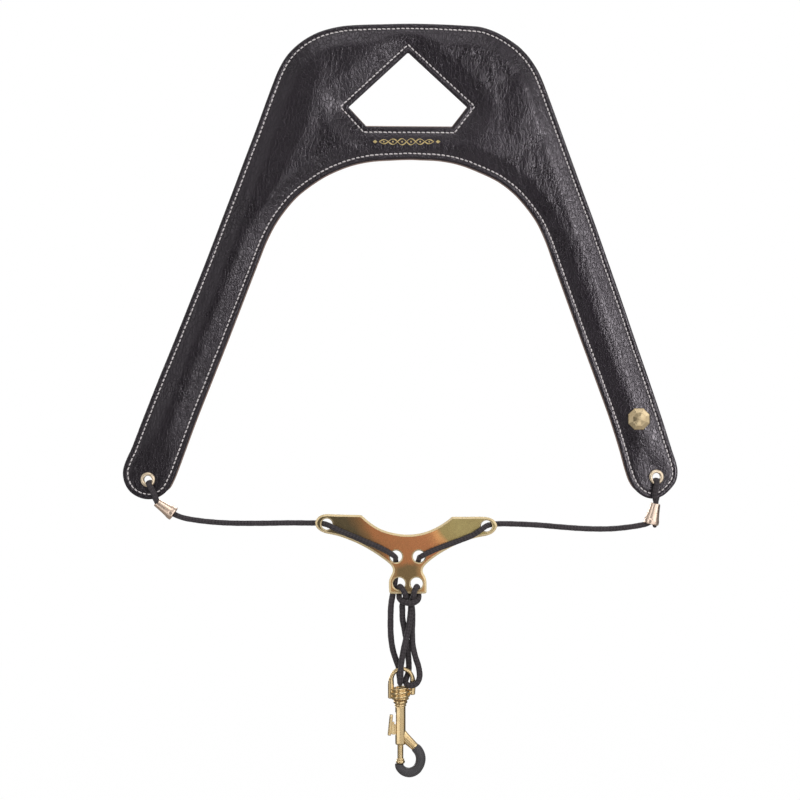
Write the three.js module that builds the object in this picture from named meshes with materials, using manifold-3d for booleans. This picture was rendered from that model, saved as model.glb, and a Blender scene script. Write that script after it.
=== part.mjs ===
// Saxophone neck strap, modelled as it hangs from the nape.
//
// Frame, in millimetres: +X to the right as seen from the front, +Z up, the front faces -Y.
// Origin: the middle of the nape bridge, on the back face of the lining's padded panel.
// The leather yoke lies in the XZ plane. The cord harness, Y plate, cord drop and snap hook
// hang below it.
import * as THREE from 'three';
import { mergeVertices } from 'three/addons/utils/BufferGeometryUtils.js';
import Module from 'manifold-3d';

const wasm = await Module();
wasm.setup();

// ---------------------------------------------------------------- driving dimensions
// Plies of the yoke: y of each face
const PAD_BACK = 0;               // back of the lining over the padding
const LINING_BACK = -0.42;        // back of the lining along its sewn margin
const LINING_FRONT = -1.0;
const PLY_GAP = 0.05;             // air between two plies
const LEATHER_T = 1.25;           // front leather thickness at the welt
const LEATHER_BACK = LINING_FRONT - PLY_GAP;
const WELT_FRONT = LEATHER_BACK - LEATHER_T;
const CROWN_FRONT = -4.2;         // front of the raised panel over the foam
const FOAM_BACK = LEATHER_BACK;
const FOAM_FRONT = -3.0;

// Distances in from the cut edge, and out from the window's edge
const CROWN_INSET = 5.0;          // raised panel
const CROWN_WINDOW_MARGIN = 4.9;
const POCKET_INSET = 6.0;         // pocket behind the raised panel
const POCKET_WINDOW_MARGIN = 5.5;
const FOAM_INSET = 6.6;
const FOAM_WINDOW_MARGIN = 6.0;
const STITCH_INSET = 2.8;         // middle of the stitch line
const STITCH_WINDOW_MARGIN = 3.0;

// Distances up each arm from its eyelet to the end of the padding
const FOAM_END_CLEAR = 13.3;
const POCKET_END_CLEAR = FOAM_END_CLEAR - 1.3;
const CROWN_END_CLEAR = FOAM_END_CLEAR - 2.4;

const THREAD_W = 0.8;
const THREAD_H = 0.35;
const THREAD_GAP = 0.02;          // air between thread and ply

const EYELET_BORE_R = 2.2;
const EYELET_BARREL_R = 2.55;
const EYELET_FLANGE_R = 4.1;
const LEATHER_HOLE_R = 2.7;

const CORD_R = 1.35;
const LOOP_R = 1.2;               // cord where it is stretched round an eyelet
const HITCH_R = 1.22;             // cord in the hitch on the Y plate
const KNOT_R = 2.35;

const BELL_NARROW_R = 2.3;
const BELL_WIDE_R = 3.75;
const BELL_WALL = 0.42;
const BELL_LENGTH = 11.0;
const BELL_SETBACK = 0.7;         // from the cord's flex point to the narrow mouth

const PLATE_FRONT = -3.8;
const PLATE_BACK = -2.2;
const PLATE_BEVEL = 0.35;

const HOOK_X = -4.18;             // vertical axis of the swivel and the snap hook
const HOOK_Y = -1.8;
const EYE_WIRE_R = 1.12;
const STEM_R = 1.3;
const STEM_BORE_R = 1.6;
const BARREL_R = 2.7;
const BARREL_BORE_R = 1.8;
const ROD_R = 1.5;
const ARM_R = 2.15;
const CORE_R = 1.5;               // metal core of the hook, inside the rubber
const COAT_R = 2.5;               // outside of the rubber coat
const COAT_GAP = 0.22;            // air between core and coat

// Distance between cross-sections along swept cords and wires
const FINE_STEP = 1.5;
const BIGHT_STEP = 1.8;
const PLATE_CORD_STEP = 2.2;
const BAIL_STEP = 2.3;
const HOOK_STEP = 2.4;
const STRAND_STEP = 3.4;
const SPAN_STEP = 4.2;

// Greatest distance a simplified outline strays from the full one
const EDGE_TOLERANCE = 0.22;
const CROWN_TOLERANCE = 0.3;
const POCKET_TOLERANCE = 0.2;
const FOAM_TOLERANCE = 0.25;
const PLATE_TOLERANCE = 0.12;

// ---------------------------------------------------------------- finishes
const BLACK_LEATHER = { color: 0x1d1c1f, roughness: 0.5, metalness: 0 };
const TAUPE_LINING = { color: 0x6a5a52, roughness: 0.9, metalness: 0 };
const FOAM = { color: 0xb9b4a6, roughness: 0.95, metalness: 0 };
const CREAM_THREAD = { color: 0xe9dfd2, roughness: 0.75, metalness: 0 };
const PALE_GOLD = { color: 0xd9b98c, roughness: 0.25, metalness: 1 };
const ROSE_GOLD = { color: 0xd8b094, roughness: 0.22, metalness: 1 };
const BRASS = { color: 0xb9934a, roughness: 0.18, metalness: 1 };
const GOLD = { color: 0xd9b25a, roughness: 0.2, metalness: 1 };
const BLACK_CORD = { color: 0x1b1a1d, roughness: 0.8, metalness: 0 };
const RUBBER = { color: 0x2f2e31, roughness: 0.7, metalness: 0 };
const STEEL = { color: 0x9a9ca0, roughness: 0.3, metalness: 1 };

// ---------------------------------------------------------------- solids and meshes
const vectors2 = (points) => points.map(([x, y]) => new THREE.Vector2(x, y));
const vectors3 = (points) => points.map(([x, y, z]) => new THREE.Vector3(x, y, z));

// A manifold from a closed geometry, turned right side out if its faces point inwards.
function solid(geometry) {
  const soup = geometry.index ? geometry.toNonIndexed() : geometry.clone();
  soup.deleteAttribute('normal');
  soup.deleteAttribute('uv');
  const merged = mergeVertices(soup, 1e-4);
  const index = merged.index.array;
  const triangles = [];
  for (let i = 0; i < index.length; i += 3) {
    const [a, b, c] = index.slice(i, i + 3);
    // triangles that shrink to a line at an axis are dropped
    if (a !== b && b !== c && a !== c) triangles.push([a, b, c]);
  }
  const build = (faces) => new wasm.Manifold(new wasm.Mesh({
    numProp: 3,
    vertProperties: new Float32Array(merged.attributes.position.array),
    triVerts: new Uint32Array(faces.flat()),
  }));
  const made = build(triangles);
  return made.volume() > 0 ? made : build(triangles.map(([a, b, c]) => [b, a, c]));
}

function piece(name, manifold, finish) {
  const { vertProperties, triVerts } = manifold.getMesh();
  const geometry = new THREE.BufferGeometry();
  geometry.setAttribute(
    'position', new THREE.BufferAttribute(new Float32Array(vertProperties), 3));
  geometry.setIndex(new THREE.BufferAttribute(new Uint32Array(triVerts), 1));
  geometry.computeVertexNormals();
  const mesh = new THREE.Mesh(geometry, new THREE.MeshStandardMaterial(finish));
  mesh.name = name;
  return mesh;
}

const group = (...children) => new THREE.Group().add(...children);

// A flat ply: outline in (x, z), between two y planes.
function slab(outline, yFront, yBack, holes = [], bevel = 0) {
  const rim = vectors2(outline);
  if (THREE.ShapeUtils.isClockWise(rim)) rim.reverse();
  const shape = new THREE.Shape(rim);
  for (const hole of holes) shape.holes.push(new THREE.Path(vectors2(hole)));
  const geometry = new THREE.ExtrudeGeometry(shape, {
    depth: yBack - yFront - 2 * bevel,
    steps: 1,
    bevelEnabled: bevel > 0,
    bevelThickness: bevel,
    bevelSize: bevel,
    bevelOffset: -bevel,
    bevelSegments: 1,
  });
  geometry.rotateX(Math.PI / 2);
  geometry.translate(0, yBack - bevel, 0);
  return solid(geometry);
}

function circle([x, z], radius, sides) {
  return Array.from({ length: sides }, (_, i) => {
    const angle = (2 * Math.PI * i) / sides;
    return [x + radius * Math.cos(angle), z + radius * Math.sin(angle)];
  });
}

// A round cord or rod along a smooth curve through (x, y, z) points.
function tube(points, radius, step, sides = 6) {
  const curve = new THREE.CatmullRomCurve3(vectors3(points), false, 'catmullrom');
  const steps = Math.max(2, Math.round(curve.getLength() / step));
  const section = new THREE.Shape(vectors2(circle([0, 0], radius, sides)));
  return solid(new THREE.ExtrudeGeometry(section, {
    steps, extrudePath: curve, bevelEnabled: false,
  }));
}

const lathe = (profile, sides) => new THREE.LatheGeometry(vectors2(profile), sides);

// A body turned about the hook's vertical axis; profile of [radius, z].
function turnedOnHook(profile, sides) {
  const geometry = lathe(profile, sides);
  geometry.rotateX(Math.PI / 2);
  geometry.translate(HOOK_X, HOOK_Y, 0);
  return solid(geometry);
}

// A body turned about a front-to-back axis through (x, z); profile of [radius, y].
function turnedY(profile, [x, z], sides) {
  return solid(lathe(profile, sides).translate(x, 0, z));
}

// Profile of a plain cylinder between two places on its axis.
const pin = (radius, start, end) => [[0, start], [radius, start], [radius, end], [0, end]];

// A box of size (x, y, z), tilted about Y before it is moved to its centre.
function box(size, centre, tilt = 0) {
  const geometry = new THREE.BoxGeometry(...size);
  geometry.rotateY(tilt);
  geometry.translate(...centre);
  return solid(geometry);
}

// ---------------------------------------------------------------- leather pattern
// Cut edge of the yoke (x, z), clockwise from the top middle, seen from the front.
const YOKE_EDGE = [
  [1.1, 65.9], [12.1, 65.7], [23.1, 65.3], [33.5, 64.7], [39.9, 64.1], [45.4, 62.5],
  [50.6, 60.2], [56.1, 56.9], [61.6, 52.8], [66.8, 47.2], [71.4, 40.2], [74.4, 33.6],
  [78.1, 23.7], [84.1, 7.2], [90.1, -9.4], [96.1, -25.9], [102.2, -42.4], [109.9, -64.4],
  [117.6, -86.4], [125.1, -108.4], [132.7, -130.4], [140.1, -152.4], [145.3, -168.9],
  [147.9, -177.0], [148.4, -181.5], [147.4, -186.3], [144.0, -190.9], [140.0, -194.2],
  [136.0, -195.6], [131.0, -194.9], [126.0, -191.6], [122.6, -186.6], [120.2, -180.2],
  [117.1, -168.9], [111.9, -152.4], [104.0, -130.4], [95.9, -108.4], [88.0, -86.4],
  [80.1, -64.4], [76.1, -53.4], [70.9, -42.6], [62.6, -31.5], [57.0, -25.9], [49.5, -20.4],
  [39.6, -15.6], [28.6, -11.4], [17.6, -9.2], [6.6, -8.6], [1.1, -8.4], [-9.9, -8.8],
  [-20.9, -9.6], [-31.9, -12.0], [-42.9, -16.4], [-48.4, -19.4], [-57.7, -25.9],
  [-63.7, -31.4], [-72.2, -42.4], [-78.1, -53.4], [-82.5, -64.4], [-91.0, -86.4],
  [-99.5, -108.4], [-108.2, -130.4], [-116.9, -152.4], [-123.0, -168.9], [-127.1, -180.0],
  [-129.4, -185.6], [-132.4, -190.9], [-137.0, -194.6], [-142.4, -196.0], [-148.2, -194.9],
  [-153.4, -191.4], [-156.5, -185.6], [-156.9, -180.0], [-154.9, -173.7], [-152.6, -168.9],
  [-146.2, -152.4], [-137.5, -130.4], [-128.5, -108.4], [-119.7, -86.4], [-111.0, -64.4],
  [-102.6, -42.4], [-96.3, -25.9], [-90.1, -9.4], [-83.8, 7.2], [-77.8, 23.7], [-74.1, 33.6],
  [-71.3, 40.4], [-67.7, 46.8], [-64.1, 51.2], [-59.1, 55.6], [-53.6, 59.1], [-48.1, 61.6],
  [-41.5, 63.5], [-34.6, 64.7], [-25.0, 65.3], [-13.5, 65.6],
];
// Window in the nape (x, z), clockwise seen from the front: a pentagon, point up.
const WINDOW = [[0.0, 50.1], [32.7, 19.8], [24.2, 8.8], [-23.1, 9.1], [-33.0, 19.8]];
const LEFT_EYELET = [-143.2, -185.2];
const RIGHT_EYELET = [136.7, -183.7];
const STUD = [126.8, -151.8];

// Each arm's eyelet, and the direction up the arm from it.
const ARMS = [
  { eyelet: LEFT_EYELET, up: [0.355, 0.935] },
  { eyelet: RIGHT_EYELET, up: [-0.325, 0.946] },
];
const ARM_END_REACH = 40;         // edge points nearer an eyelet than this are its arm's end

const EDGE_SAMPLES = 1400;
const TANGENT_REACH = 3;          // samples to either side that give the edge's direction
const EDGE = new THREE.CatmullRomCurve3(
  vectors3(YOKE_EDGE.map(([x, z]) => [x, z, 0])), true, 'centripetal',
).getSpacedPoints(EDGE_SAMPLES).slice(0, EDGE_SAMPLES);

// The cut edge moved into the leather by a distance.
function inset(distance) {
  const count = EDGE.length;
  return EDGE.map((point, i) => {
    const before = EDGE[(i + count - TANGENT_REACH) % count];
    const after = EDGE[(i + TANGENT_REACH) % count];
    const tangent = new THREE.Vector2(after.x - before.x, after.y - before.y).normalize();
    return [point.x + tangent.y * distance, point.y - tangent.x * distance];
  });
}

// The inset edge, cut straight across each arm above its eyelet.
function padOutline(distance, endClear) {
  return inset(distance).filter(([x, z]) => ARMS.every(({ eyelet, up }) => {
    const dx = x - eyelet[0];
    const dz = z - eyelet[1];
    return Math.hypot(dx, dz) > ARM_END_REACH || dx * up[0] + dz * up[1] > endClear;
  }));
}

// The window's edge moved out into the leather, with mitred corners.
function windowOut(distance) {
  const count = WINDOW.length;
  const normal = (from, to) => new THREE.Vector2(from[1] - to[1], to[0] - from[0]).normalize();
  return WINDOW.map((corner, i) => {
    const normalIn = normal(WINDOW[(i + count - 1) % count], corner);
    const normalOut = normal(corner, WINDOW[(i + 1) % count]);
    const mitre = normalIn.clone().add(normalOut).normalize();
    const reach = distance / mitre.dot(normalIn);
    return [corner[0] + mitre.x * reach, corner[1] + mitre.y * reach];
  });
}

function distanceToLine(start, end, point) {
  const dx = end[0] - start[0];
  const dy = end[1] - start[1];
  const length = Math.hypot(dx, dy);
  if (length < 1e-9) return Math.hypot(point[0] - start[0], point[1] - start[1]);
  return Math.abs((point[0] - start[0]) * dy - (point[1] - start[1]) * dx) / length;
}

// Splits an open line at its farthest point until every part is within tolerance.
function simplifyOpen(points, tolerance) {
  const start = points[0];
  const end = points[points.length - 1];
  let farthest = 0;
  let greatest = 0;
  for (let i = 1; i < points.length - 1; i++) {
    const distance = distanceToLine(start, end, points[i]);
    if (distance > greatest) {
      greatest = distance;
      farthest = i;
    }
  }
  if (points.length < 3 || greatest < tolerance) return [start, end];
  return [
    ...simplifyOpen(points.slice(0, farthest + 1), tolerance).slice(0, -1),
    ...simplifyOpen(points.slice(farthest), tolerance),
  ];
}

// A closed line is simplified as two open halves.
function simplify(points, tolerance) {
  const half = Math.floor(points.length / 2);
  return [
    ...simplifyOpen(points.slice(0, half + 1), tolerance).slice(0, -1),
    ...simplifyOpen([...points.slice(half), points[0]], tolerance).slice(0, -1),
  ];
}

// ---------------------------------------------------------------- leather, lining and foam
const OUTLINE = simplify(inset(0), EDGE_TOLERANCE);
const CROWN = simplify(padOutline(CROWN_INSET, CROWN_END_CLEAR), CROWN_TOLERANCE);
const PLY_HOLES = [WINDOW, ...ARMS.map(({ eyelet }) => circle(eyelet, LEATHER_HOLE_R, 14))];
const CROWN_HOLES = [windowOut(CROWN_WINDOW_MARGIN)];

// Flat welt all round, raised over the foam, with a pocket behind the raised panel.
function frontLeather() {
  const welt = slab(OUTLINE, WELT_FRONT, LEATHER_BACK, PLY_HOLES);
  const panel = slab(CROWN, CROWN_FRONT, WELT_FRONT + 0.2, CROWN_HOLES);
  const pocketOutline = simplify(padOutline(POCKET_INSET, POCKET_END_CLEAR), POCKET_TOLERANCE);
  const pocket = slab(
    pocketOutline, FOAM_FRONT - 0.06, FOAM_BACK + 0.5, [windowOut(POCKET_WINDOW_MARGIN)]);
  const studHole = turnedY(pin(1.15, CROWN_FRONT - 0.5, FOAM_FRONT + 0.4), STUD, 12);
  return welt.add(panel).subtract(pocket).subtract(studHole);
}

// Flat along the sewn margin and standing out over the padding.
function backLining() {
  return slab(OUTLINE, LINING_FRONT, LINING_BACK, PLY_HOLES)
    .add(slab(CROWN, LINING_BACK - 0.3, PAD_BACK, CROWN_HOLES));
}

// Foam, with a recess for the stud's washer.
function foamPadding() {
  const outline = simplify(padOutline(FOAM_INSET, FOAM_END_CLEAR), FOAM_TOLERANCE);
  const recess = turnedY(pin(3.5, FOAM_FRONT - 0.5, FOAM_FRONT + 1.2), STUD, 16);
  return slab(outline, FOAM_FRONT, FOAM_BACK, [windowOut(FOAM_WINDOW_MARGIN)]).subtract(recess);
}

// ---------------------------------------------------------------- stitching
// Each seam is a continuous band: needle thread on the front, bobbin thread on the back.
function seam(name, outer, inner) {
  const needleBack = WELT_FRONT - THREAD_GAP;
  const bobbinFront = LINING_BACK + THREAD_GAP;
  const needle = slab(outer, needleBack - THREAD_H, needleBack, [inner]);
  const bobbin = slab(outer, bobbinFront, bobbinFront + THREAD_H, [inner]);
  return [
    piece(`${name}_needle_thread`, needle, CREAM_THREAD),
    piece(`${name}_bobbin_thread`, bobbin, CREAM_THREAD),
  ];
}
const edgeSeam = seam(
  'edge',
  simplify(inset(STITCH_INSET - THREAD_W / 2), EDGE_TOLERANCE),
  simplify(inset(STITCH_INSET + THREAD_W / 2), EDGE_TOLERANCE),
);
const windowSeam = seam(
  'window',
  windowOut(STITCH_WINDOW_MARGIN + THREAD_W / 2),
  windowOut(STITCH_WINDOW_MARGIN - THREAD_W / 2),
);

// ---------------------------------------------------------------- eyelets
// One pressed part: flange in front, barrel through the plies, rolled rim behind the washer.
const eyelet = (centre) => turnedY([
  [EYELET_BORE_R, WELT_FRONT - 0.55],
  [EYELET_BORE_R + 0.55, WELT_FRONT - 0.95],
  [EYELET_FLANGE_R - 0.7, WELT_FRONT - 0.85],
  [EYELET_FLANGE_R, WELT_FRONT - 0.35],
  [EYELET_FLANGE_R - 0.1, WELT_FRONT - 0.06],
  [EYELET_BARREL_R, WELT_FRONT - 0.06],
  [EYELET_BARREL_R, LINING_BACK + 0.55],
  [EYELET_BARREL_R + 0.75, LINING_BACK + 0.6],
  [EYELET_BARREL_R + 0.6, LINING_BACK + 0.95],
  [EYELET_BORE_R + 0.25, LINING_BACK + 1.0],
  [EYELET_BORE_R, LINING_BACK + 0.75],
  [EYELET_BORE_R, WELT_FRONT - 0.55],
], centre, 14);

function eyeletWasher(centre) {
  const innerR = LEATHER_HOLE_R - 0.05;
  return turnedY([
    [innerR, LINING_BACK + 0.05],
    [EYELET_FLANGE_R, LINING_BACK + 0.05],
    [EYELET_FLANGE_R - 0.25, LINING_BACK + 0.4],
    [innerR, LINING_BACK + 0.48],
    [innerR, LINING_BACK + 0.05],
  ], centre, 14);
}

// ---------------------------------------------------------------- stud on the right arm
// Eight-sided faceted head with a post through the leather.
function ornamentStud() {
  const head = turnedY([
    [0, CROWN_FRONT - 2.3], [2.2, CROWN_FRONT - 2.0], [5.9, CROWN_FRONT - 0.75],
    [6.2, CROWN_FRONT - 0.08], [0, CROWN_FRONT - 0.08],
  ], STUD, 8);
  return head.add(turnedY(pin(0.95, CROWN_FRONT - 0.3, FOAM_FRONT + 0.75), STUD, 12));
}

// The washer the post is clinched over.
function studWasher() {
  const front = FOAM_FRONT + 0.1;
  const back = FOAM_FRONT + 0.5;
  return turnedY([[1.2, front], [3.0, front], [3.0, back], [1.2, back], [1.2, front]], STUD, 16);
}

// ---------------------------------------------------------------- cord bells and eyelet loops
const FLEX_Y = -1.2;              // depth of the bells' axes
const FLEX_Z = -197.8;            // height of the harness's flex line
// Flex point (x, z), and the direction from it along the bell's axis to the wide mouth.
const LEFT_BELL = { flex: [-138.2, FLEX_Z], direction: [0.822, -0.569] };
const RIGHT_BELL = { flex: [136.6, FLEX_Z], direction: [-0.232, -0.973] };
const RIGHT_LOOP_AIM = [RIGHT_BELL.flex[0], FLEX_Z + 0.6];

// (distance from the eyelet's centre towards the aim point, y):
// front strand, through the bore, back strand.
const LOOP_PROFILE = [
  [12.6, -3.2], [11.2, -3.75], [8.0, -4.2], [5.0, -4.6], [3.2, -4.8], [1.55, -4.4],
  [0.8, -3.1], [0.72, -1.1], [0.8, 0.9], [1.55, 2.2], [3.2, 2.65], [5.0, 2.5], [8.0, 2.0],
  [11.2, 1.55], [12.6, 1.05],
];

function cordLoop([x, z], [aimX, aimZ]) {
  const length = Math.hypot(aimX - x, aimZ - z);
  const ux = (aimX - x) / length;
  const uz = (aimZ - z) / length;
  return tube(LOOP_PROFILE.map(([s, y]) => [x + ux * s, y, z + uz * s]), LOOP_R, FINE_STEP);
}

// Hollow cone; profile of [radius, distance from the narrow mouth].
function cordBell({ flex: [x, z], direction }) {
  const geometry = lathe([
    [BELL_NARROW_R - BELL_WALL, 0.15],
    [BELL_NARROW_R - 0.15, 0],
    [BELL_NARROW_R, 0.2],
    [BELL_WIDE_R - 0.02, BELL_LENGTH - 0.7],
    [BELL_WIDE_R, BELL_LENGTH - 0.2],
    [BELL_WIDE_R - 0.15, BELL_LENGTH],
    [BELL_WIDE_R - BELL_WALL, BELL_LENGTH - 0.15],
    [BELL_NARROW_R - BELL_WALL, 0.15],
  ], 14);
  const axis = new THREE.Vector3(direction[0], 0, direction[1]).normalize();
  const turn = new THREE.Quaternion().setFromUnitVectors(new THREE.Vector3(0, 1, 0), axis);
  geometry.applyQuaternion(turn);
  geometry.translate(x + axis.x * BELL_SETBACK, FLEX_Y, z + axis.z * BELL_SETBACK);
  return solid(geometry);
}

// ---------------------------------------------------------------- cord spans, bell to plate
const alongBell = ({ flex, direction }, distance) => [
  flex[0] + direction[0] * distance, FLEX_Y, flex[1] + direction[1] * distance,
];

const LEFT_SPAN = [
  ...[2.2, 6.5, 11.2].map((distance) => alongBell(LEFT_BELL, distance)),
  [-123.9, -1.2, -206.2], [-115.7, -1.1, -207.7], [-106.3, -1.0, -208.7],
  [-96.8, -0.9, -209.2], [-81.4, -0.7, -209.3], [-64.9, -0.3, -209.1], [-52.0, 0.0, -209.2],
];
const RIGHT_SPAN = [
  ...[2.2, 6.0, 9.4].map((distance) => alongBell(RIGHT_BELL, distance)),
  [132.0, -1.2, -209.4], [127.8, -1.2, -210.4], [121.5, -1.1, -211.4], [112.0, -1.0, -212.3],
  [102.5, -0.8, -212.4], [93.0, -0.6, -212.0], [83.6, -0.4, -211.3], [70.0, -0.2, -210.2],
  [50.6, 0.0, -209.6],
];

// A span with its knot inside the bell.
function cordSpan(points, knotCentre) {
  const knot = new THREE.SphereGeometry(KNOT_R, 8, 6).translate(...knotCentre);
  return tube(points, CORD_R, SPAN_STEP).add(solid(knot));
}

// ---------------------------------------------------------------- Y plate
// Edge of the plate (x, z), clockwise from the top of the left end, seen from the front.
const PLATE_EDGE = [
  [-45.9, -204.3], [-42.0, -204.3], [-25.6, -204.8], [-24.2, -206.1], [-22.0, -207.9],
  [-17.6, -211.0], [-13.2, -213.1], [-8.8, -214.3], [-4.4, -215.1], [0.0, -215.4],
  [4.4, -215.1], [8.8, -214.2], [13.2, -212.6], [17.6, -210.4], [22.0, -207.4],
  [24.3, -205.6], [41.8, -205.6], [44.4, -205.9], [46.6, -206.8], [48.4, -208.6],
  [49.1, -210.4], [48.4, -212.3], [46.4, -214.9], [44.0, -215.8], [37.4, -217.1],
  [33.0, -218.4], [28.6, -220.1], [24.2, -222.0], [19.8, -224.4], [15.4, -227.2],
  [11.0, -230.5], [8.8, -232.5], [8.0, -234.2], [8.1, -235.9], [9.4, -238.2],
  [10.1, -240.6], [10.2, -246.9], [9.7, -247.7], [-9.7, -247.7], [-10.2, -247.0],
  [-10.5, -242.0], [-10.5, -240.4], [-9.8, -238.2], [-8.6, -236.2], [-8.3, -234.2],
  [-8.8, -232.5], [-11.0, -230.8], [-15.4, -227.4], [-19.8, -224.5], [-24.2, -222.1],
  [-28.6, -219.7], [-33.0, -217.9], [-37.4, -216.4], [-41.8, -215.2], [-46.2, -214.2],
  [-48.4, -213.3], [-50.3, -211.5], [-51.0, -209.2], [-50.2, -206.7], [-48.4, -205.0],
];
// Cord holes: x, z, radius. End pair, inner pair, lower pair.
const PLATE_HOLES = [
  [-44.6, -209.6, 3.05], [43.2, -210.6, 3.05],
  [-6.6, -227.4, 3.3], [6.0, -227.4, 3.3],
  [-4.9, -242.3, 3.35], [4.7, -242.3, 3.35],
];

function yPlate() {
  const holes = PLATE_HOLES.map(([x, z, radius]) => circle([x, z], radius, 12));
  const outline = simplify(PLATE_EDGE, PLATE_TOLERANCE);
  return slab(outline, PLATE_FRONT, PLATE_BACK, holes, PLATE_BEVEL);
}

// Cord on the plate (x, y, z): behind the end rim, out through the end hole, across the front,
// in through the inner hole, down the back.
const LEFT_RUN = [
  [-48.9, 0.0, -209.2], [-47.6, -0.3, -209.3], [-44.6, -3.0, -209.9], [-41.4, -5.75, -211.1],
  [-37.4, -5.6, -213.1], [-32.6, -5.45, -215.1], [-24.6, -5.4, -218.5], [-16.5, -5.4, -221.9],
  [-12.1, -5.4, -224.1], [-9.1, -5.2, -225.9], [-7.3, -4.1, -227.3], [-6.9, -2.7, -227.9],
  [-6.8, -1.1, -229.0], [-6.7, -0.7, -232.6], [-6.8, -0.7, -239.2], [-7.7, -0.7, -244.7],
  [-8.4, -0.7, -247.0],
];
const RIGHT_RUN = [
  [47.1, 0.0, -209.9], [45.8, -0.3, -210.0], [43.0, -3.0, -210.7], [39.9, -5.75, -212.7],
  [35.7, -5.6, -215.4], [31.9, -5.45, -217.1], [23.9, -5.4, -220.1], [15.8, -5.4, -223.1],
  [11.2, -5.4, -225.1], [8.3, -5.2, -226.6], [6.7, -4.1, -227.6], [6.3, -2.7, -227.9],
  [6.0, -1.1, -229.0], [5.0, -0.7, -231.8], [2.2, -0.7, -235.4], [0.3, -0.7, -239.8],
  [0.1, -0.7, -244.7], [0.5, -0.6, -247.0],
];
// The cow hitch round the bar under the two lower holes.
const HITCH = [
  [-3.1, -3.0, -253.7], [-2.3, -3.0, -251.8], [-1.3, -4.4, -249.6], [-1.7, -5.35, -247.7],
  [-3.0, -5.2, -245.2], [-4.4, -3.0, -243.9], [-5.0, -0.9, -245.6], [-5.0, -0.75, -247.6],
  [-5.3, -1.3, -249.3], [-5.1, -3.3, -250.8], [-3.3, -5.6, -251.8], [-0.5, -6.35, -252.2],
  [2.8, -6.35, -252.3], [5.6, -5.5, -251.8], [7.1, -3.3, -250.6], [6.8, -1.35, -249.0],
  [5.8, -0.75, -247.6], [5.5, -0.9, -245.6], [4.9, -3.0, -243.9], [4.0, -5.2, -245.2],
  [3.3, -5.35, -247.7], [2.9, -4.4, -249.6], [2.1, -3.0, -251.8], [1.65, -3.0, -253.7],
];

// ---------------------------------------------------------------- cord drop, plate to swivel eye
const HEAD_TOP = -254.3;
const HEAD_END = -256.6;
const STRAND_END = -287.9;
const TURN_END = -288.4;

// Centre lines (x, y, z). The two short heads below the hitch:
const LEG_HEADS = {
  left_leg_head: [[-3.15, -3.05, HEAD_TOP], [-3.1, -3.0, HEAD_END]],
  right_leg_head: [[1.6, -3.1, HEAD_TOP], [1.55, -3.3, HEAD_END]],
};
// the four strands:
const STRANDS = {
  left_return_strand: [
    [-8.6, -0.6, -249.8], [-9.3, -0.6, -254.1], [-9.6, -0.7, -261.8], [-9.4, -0.6, -271.7],
    [-8.2, -0.2, -279.6], [-6.2, 0.5, -285.8], [-5.3, 0.7, STRAND_END],
  ],
  left_leg_strand: [
    [-3.1, -2.9, -257.0], [-3.0, -2.0, -261.8], [-1.9, -1.2, -267.9], [-0.2, -0.8, -278.1],
    [0.3, 0.2, -284.4], [0.5, 0.75, STRAND_END],
  ],
  right_leg_strand: [
    [1.55, -3.4, -257.0], [1.2, -3.9, -260.0], [0.2, -4.2, -267.3], [-1.3, -4.35, -273.4],
    [-2.9, -4.35, -281.1], [-3.9, -4.35, STRAND_END],
  ],
  right_return_strand: [
    [1.3, 0.0, -249.8], [2.1, 0.2, -254.7], [2.5, -0.2, -260.2], [2.3, -1.0, -269.5],
    [2.7, -2.0, -276.7], [4.1, -3.4, -282.7], [5.7, -4.3, STRAND_END],
  ],
};
// and the two turns round the top of the eye.
const EYE_TURNS = {
  left_eye_turn: [
    [-3.95, -4.35, TURN_END], [-4.1, -4.1, -292.6], [-4.3, -2.9, -295.9], [-4.4, -1.5, -296.7],
    [-4.6, 0.0, -295.6], [-4.9, 0.8, -292.1], [-5.2, 0.8, TURN_END],
  ],
  right_eye_turn: [
    [0.5, 0.8, TURN_END], [0.2, 0.7, -291.6], [-0.7, -0.2, -294.2], [-1.1, -1.7, -296.2],
    [0.0, -3.6, -297.4], [2.2, -4.65, -297.7], [4.8, -4.95, -296.5], [6.3, -4.7, -293.6],
    [5.9, -4.3, TURN_END],
  ],
};
const cordPieces = (lines, step) => Object.entries(lines)
  .map(([name, points]) => piece(name, tube(points, CORD_R, step), BLACK_CORD));

// ---------------------------------------------------------------- swivel eye
// (x, z) points placed in the hook's plane.
const inHookPlane = (points) => points.map(([x, z]) => [x, HOOK_Y, z]);

// Right half of the bail, foot to shoulder: distance from the hook's axis, z.
const BAIL_HALF = [[6.4, -305.2], [6.4, -300.8], [6.1, -296.4], [5.1, -292.9], [2.8, -290.3]];
const BAIL_TOP = -289.5;

function swivelEye() {
  const bail = tube(inHookPlane([
    ...BAIL_HALF.map(([reach, z]) => [HOOK_X - reach, z]),
    [HOOK_X, BAIL_TOP],
    ...BAIL_HALF.map(([reach, z]) => [HOOK_X + reach, z]).reverse(),
  ]), EYE_WIRE_R, BAIL_STEP, 8);
  const base = turnedOnHook([
    [0, -300.0], [4.2, -300.0], [5.3, -300.5], [5.6, -301.1], [5.2, -301.9], [5.6, -302.6],
    [5.6, -303.1], [5.1, -303.9], [5.5, -304.5], [5.3, -305.4], [4.6, -306.4], [0, -306.4],
  ], 16);
  return bail.add(base).subtract(turnedOnHook(pin(STEM_BORE_R, -299.0, -307.5), 12));
}

// ---------------------------------------------------------------- snap hook
const BARREL_TOP = -309.9;
const BARREL_END = -331.1;
const BORE_TOP = -310.6;
const BORE_END = BARREL_END - 0.9;

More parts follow.
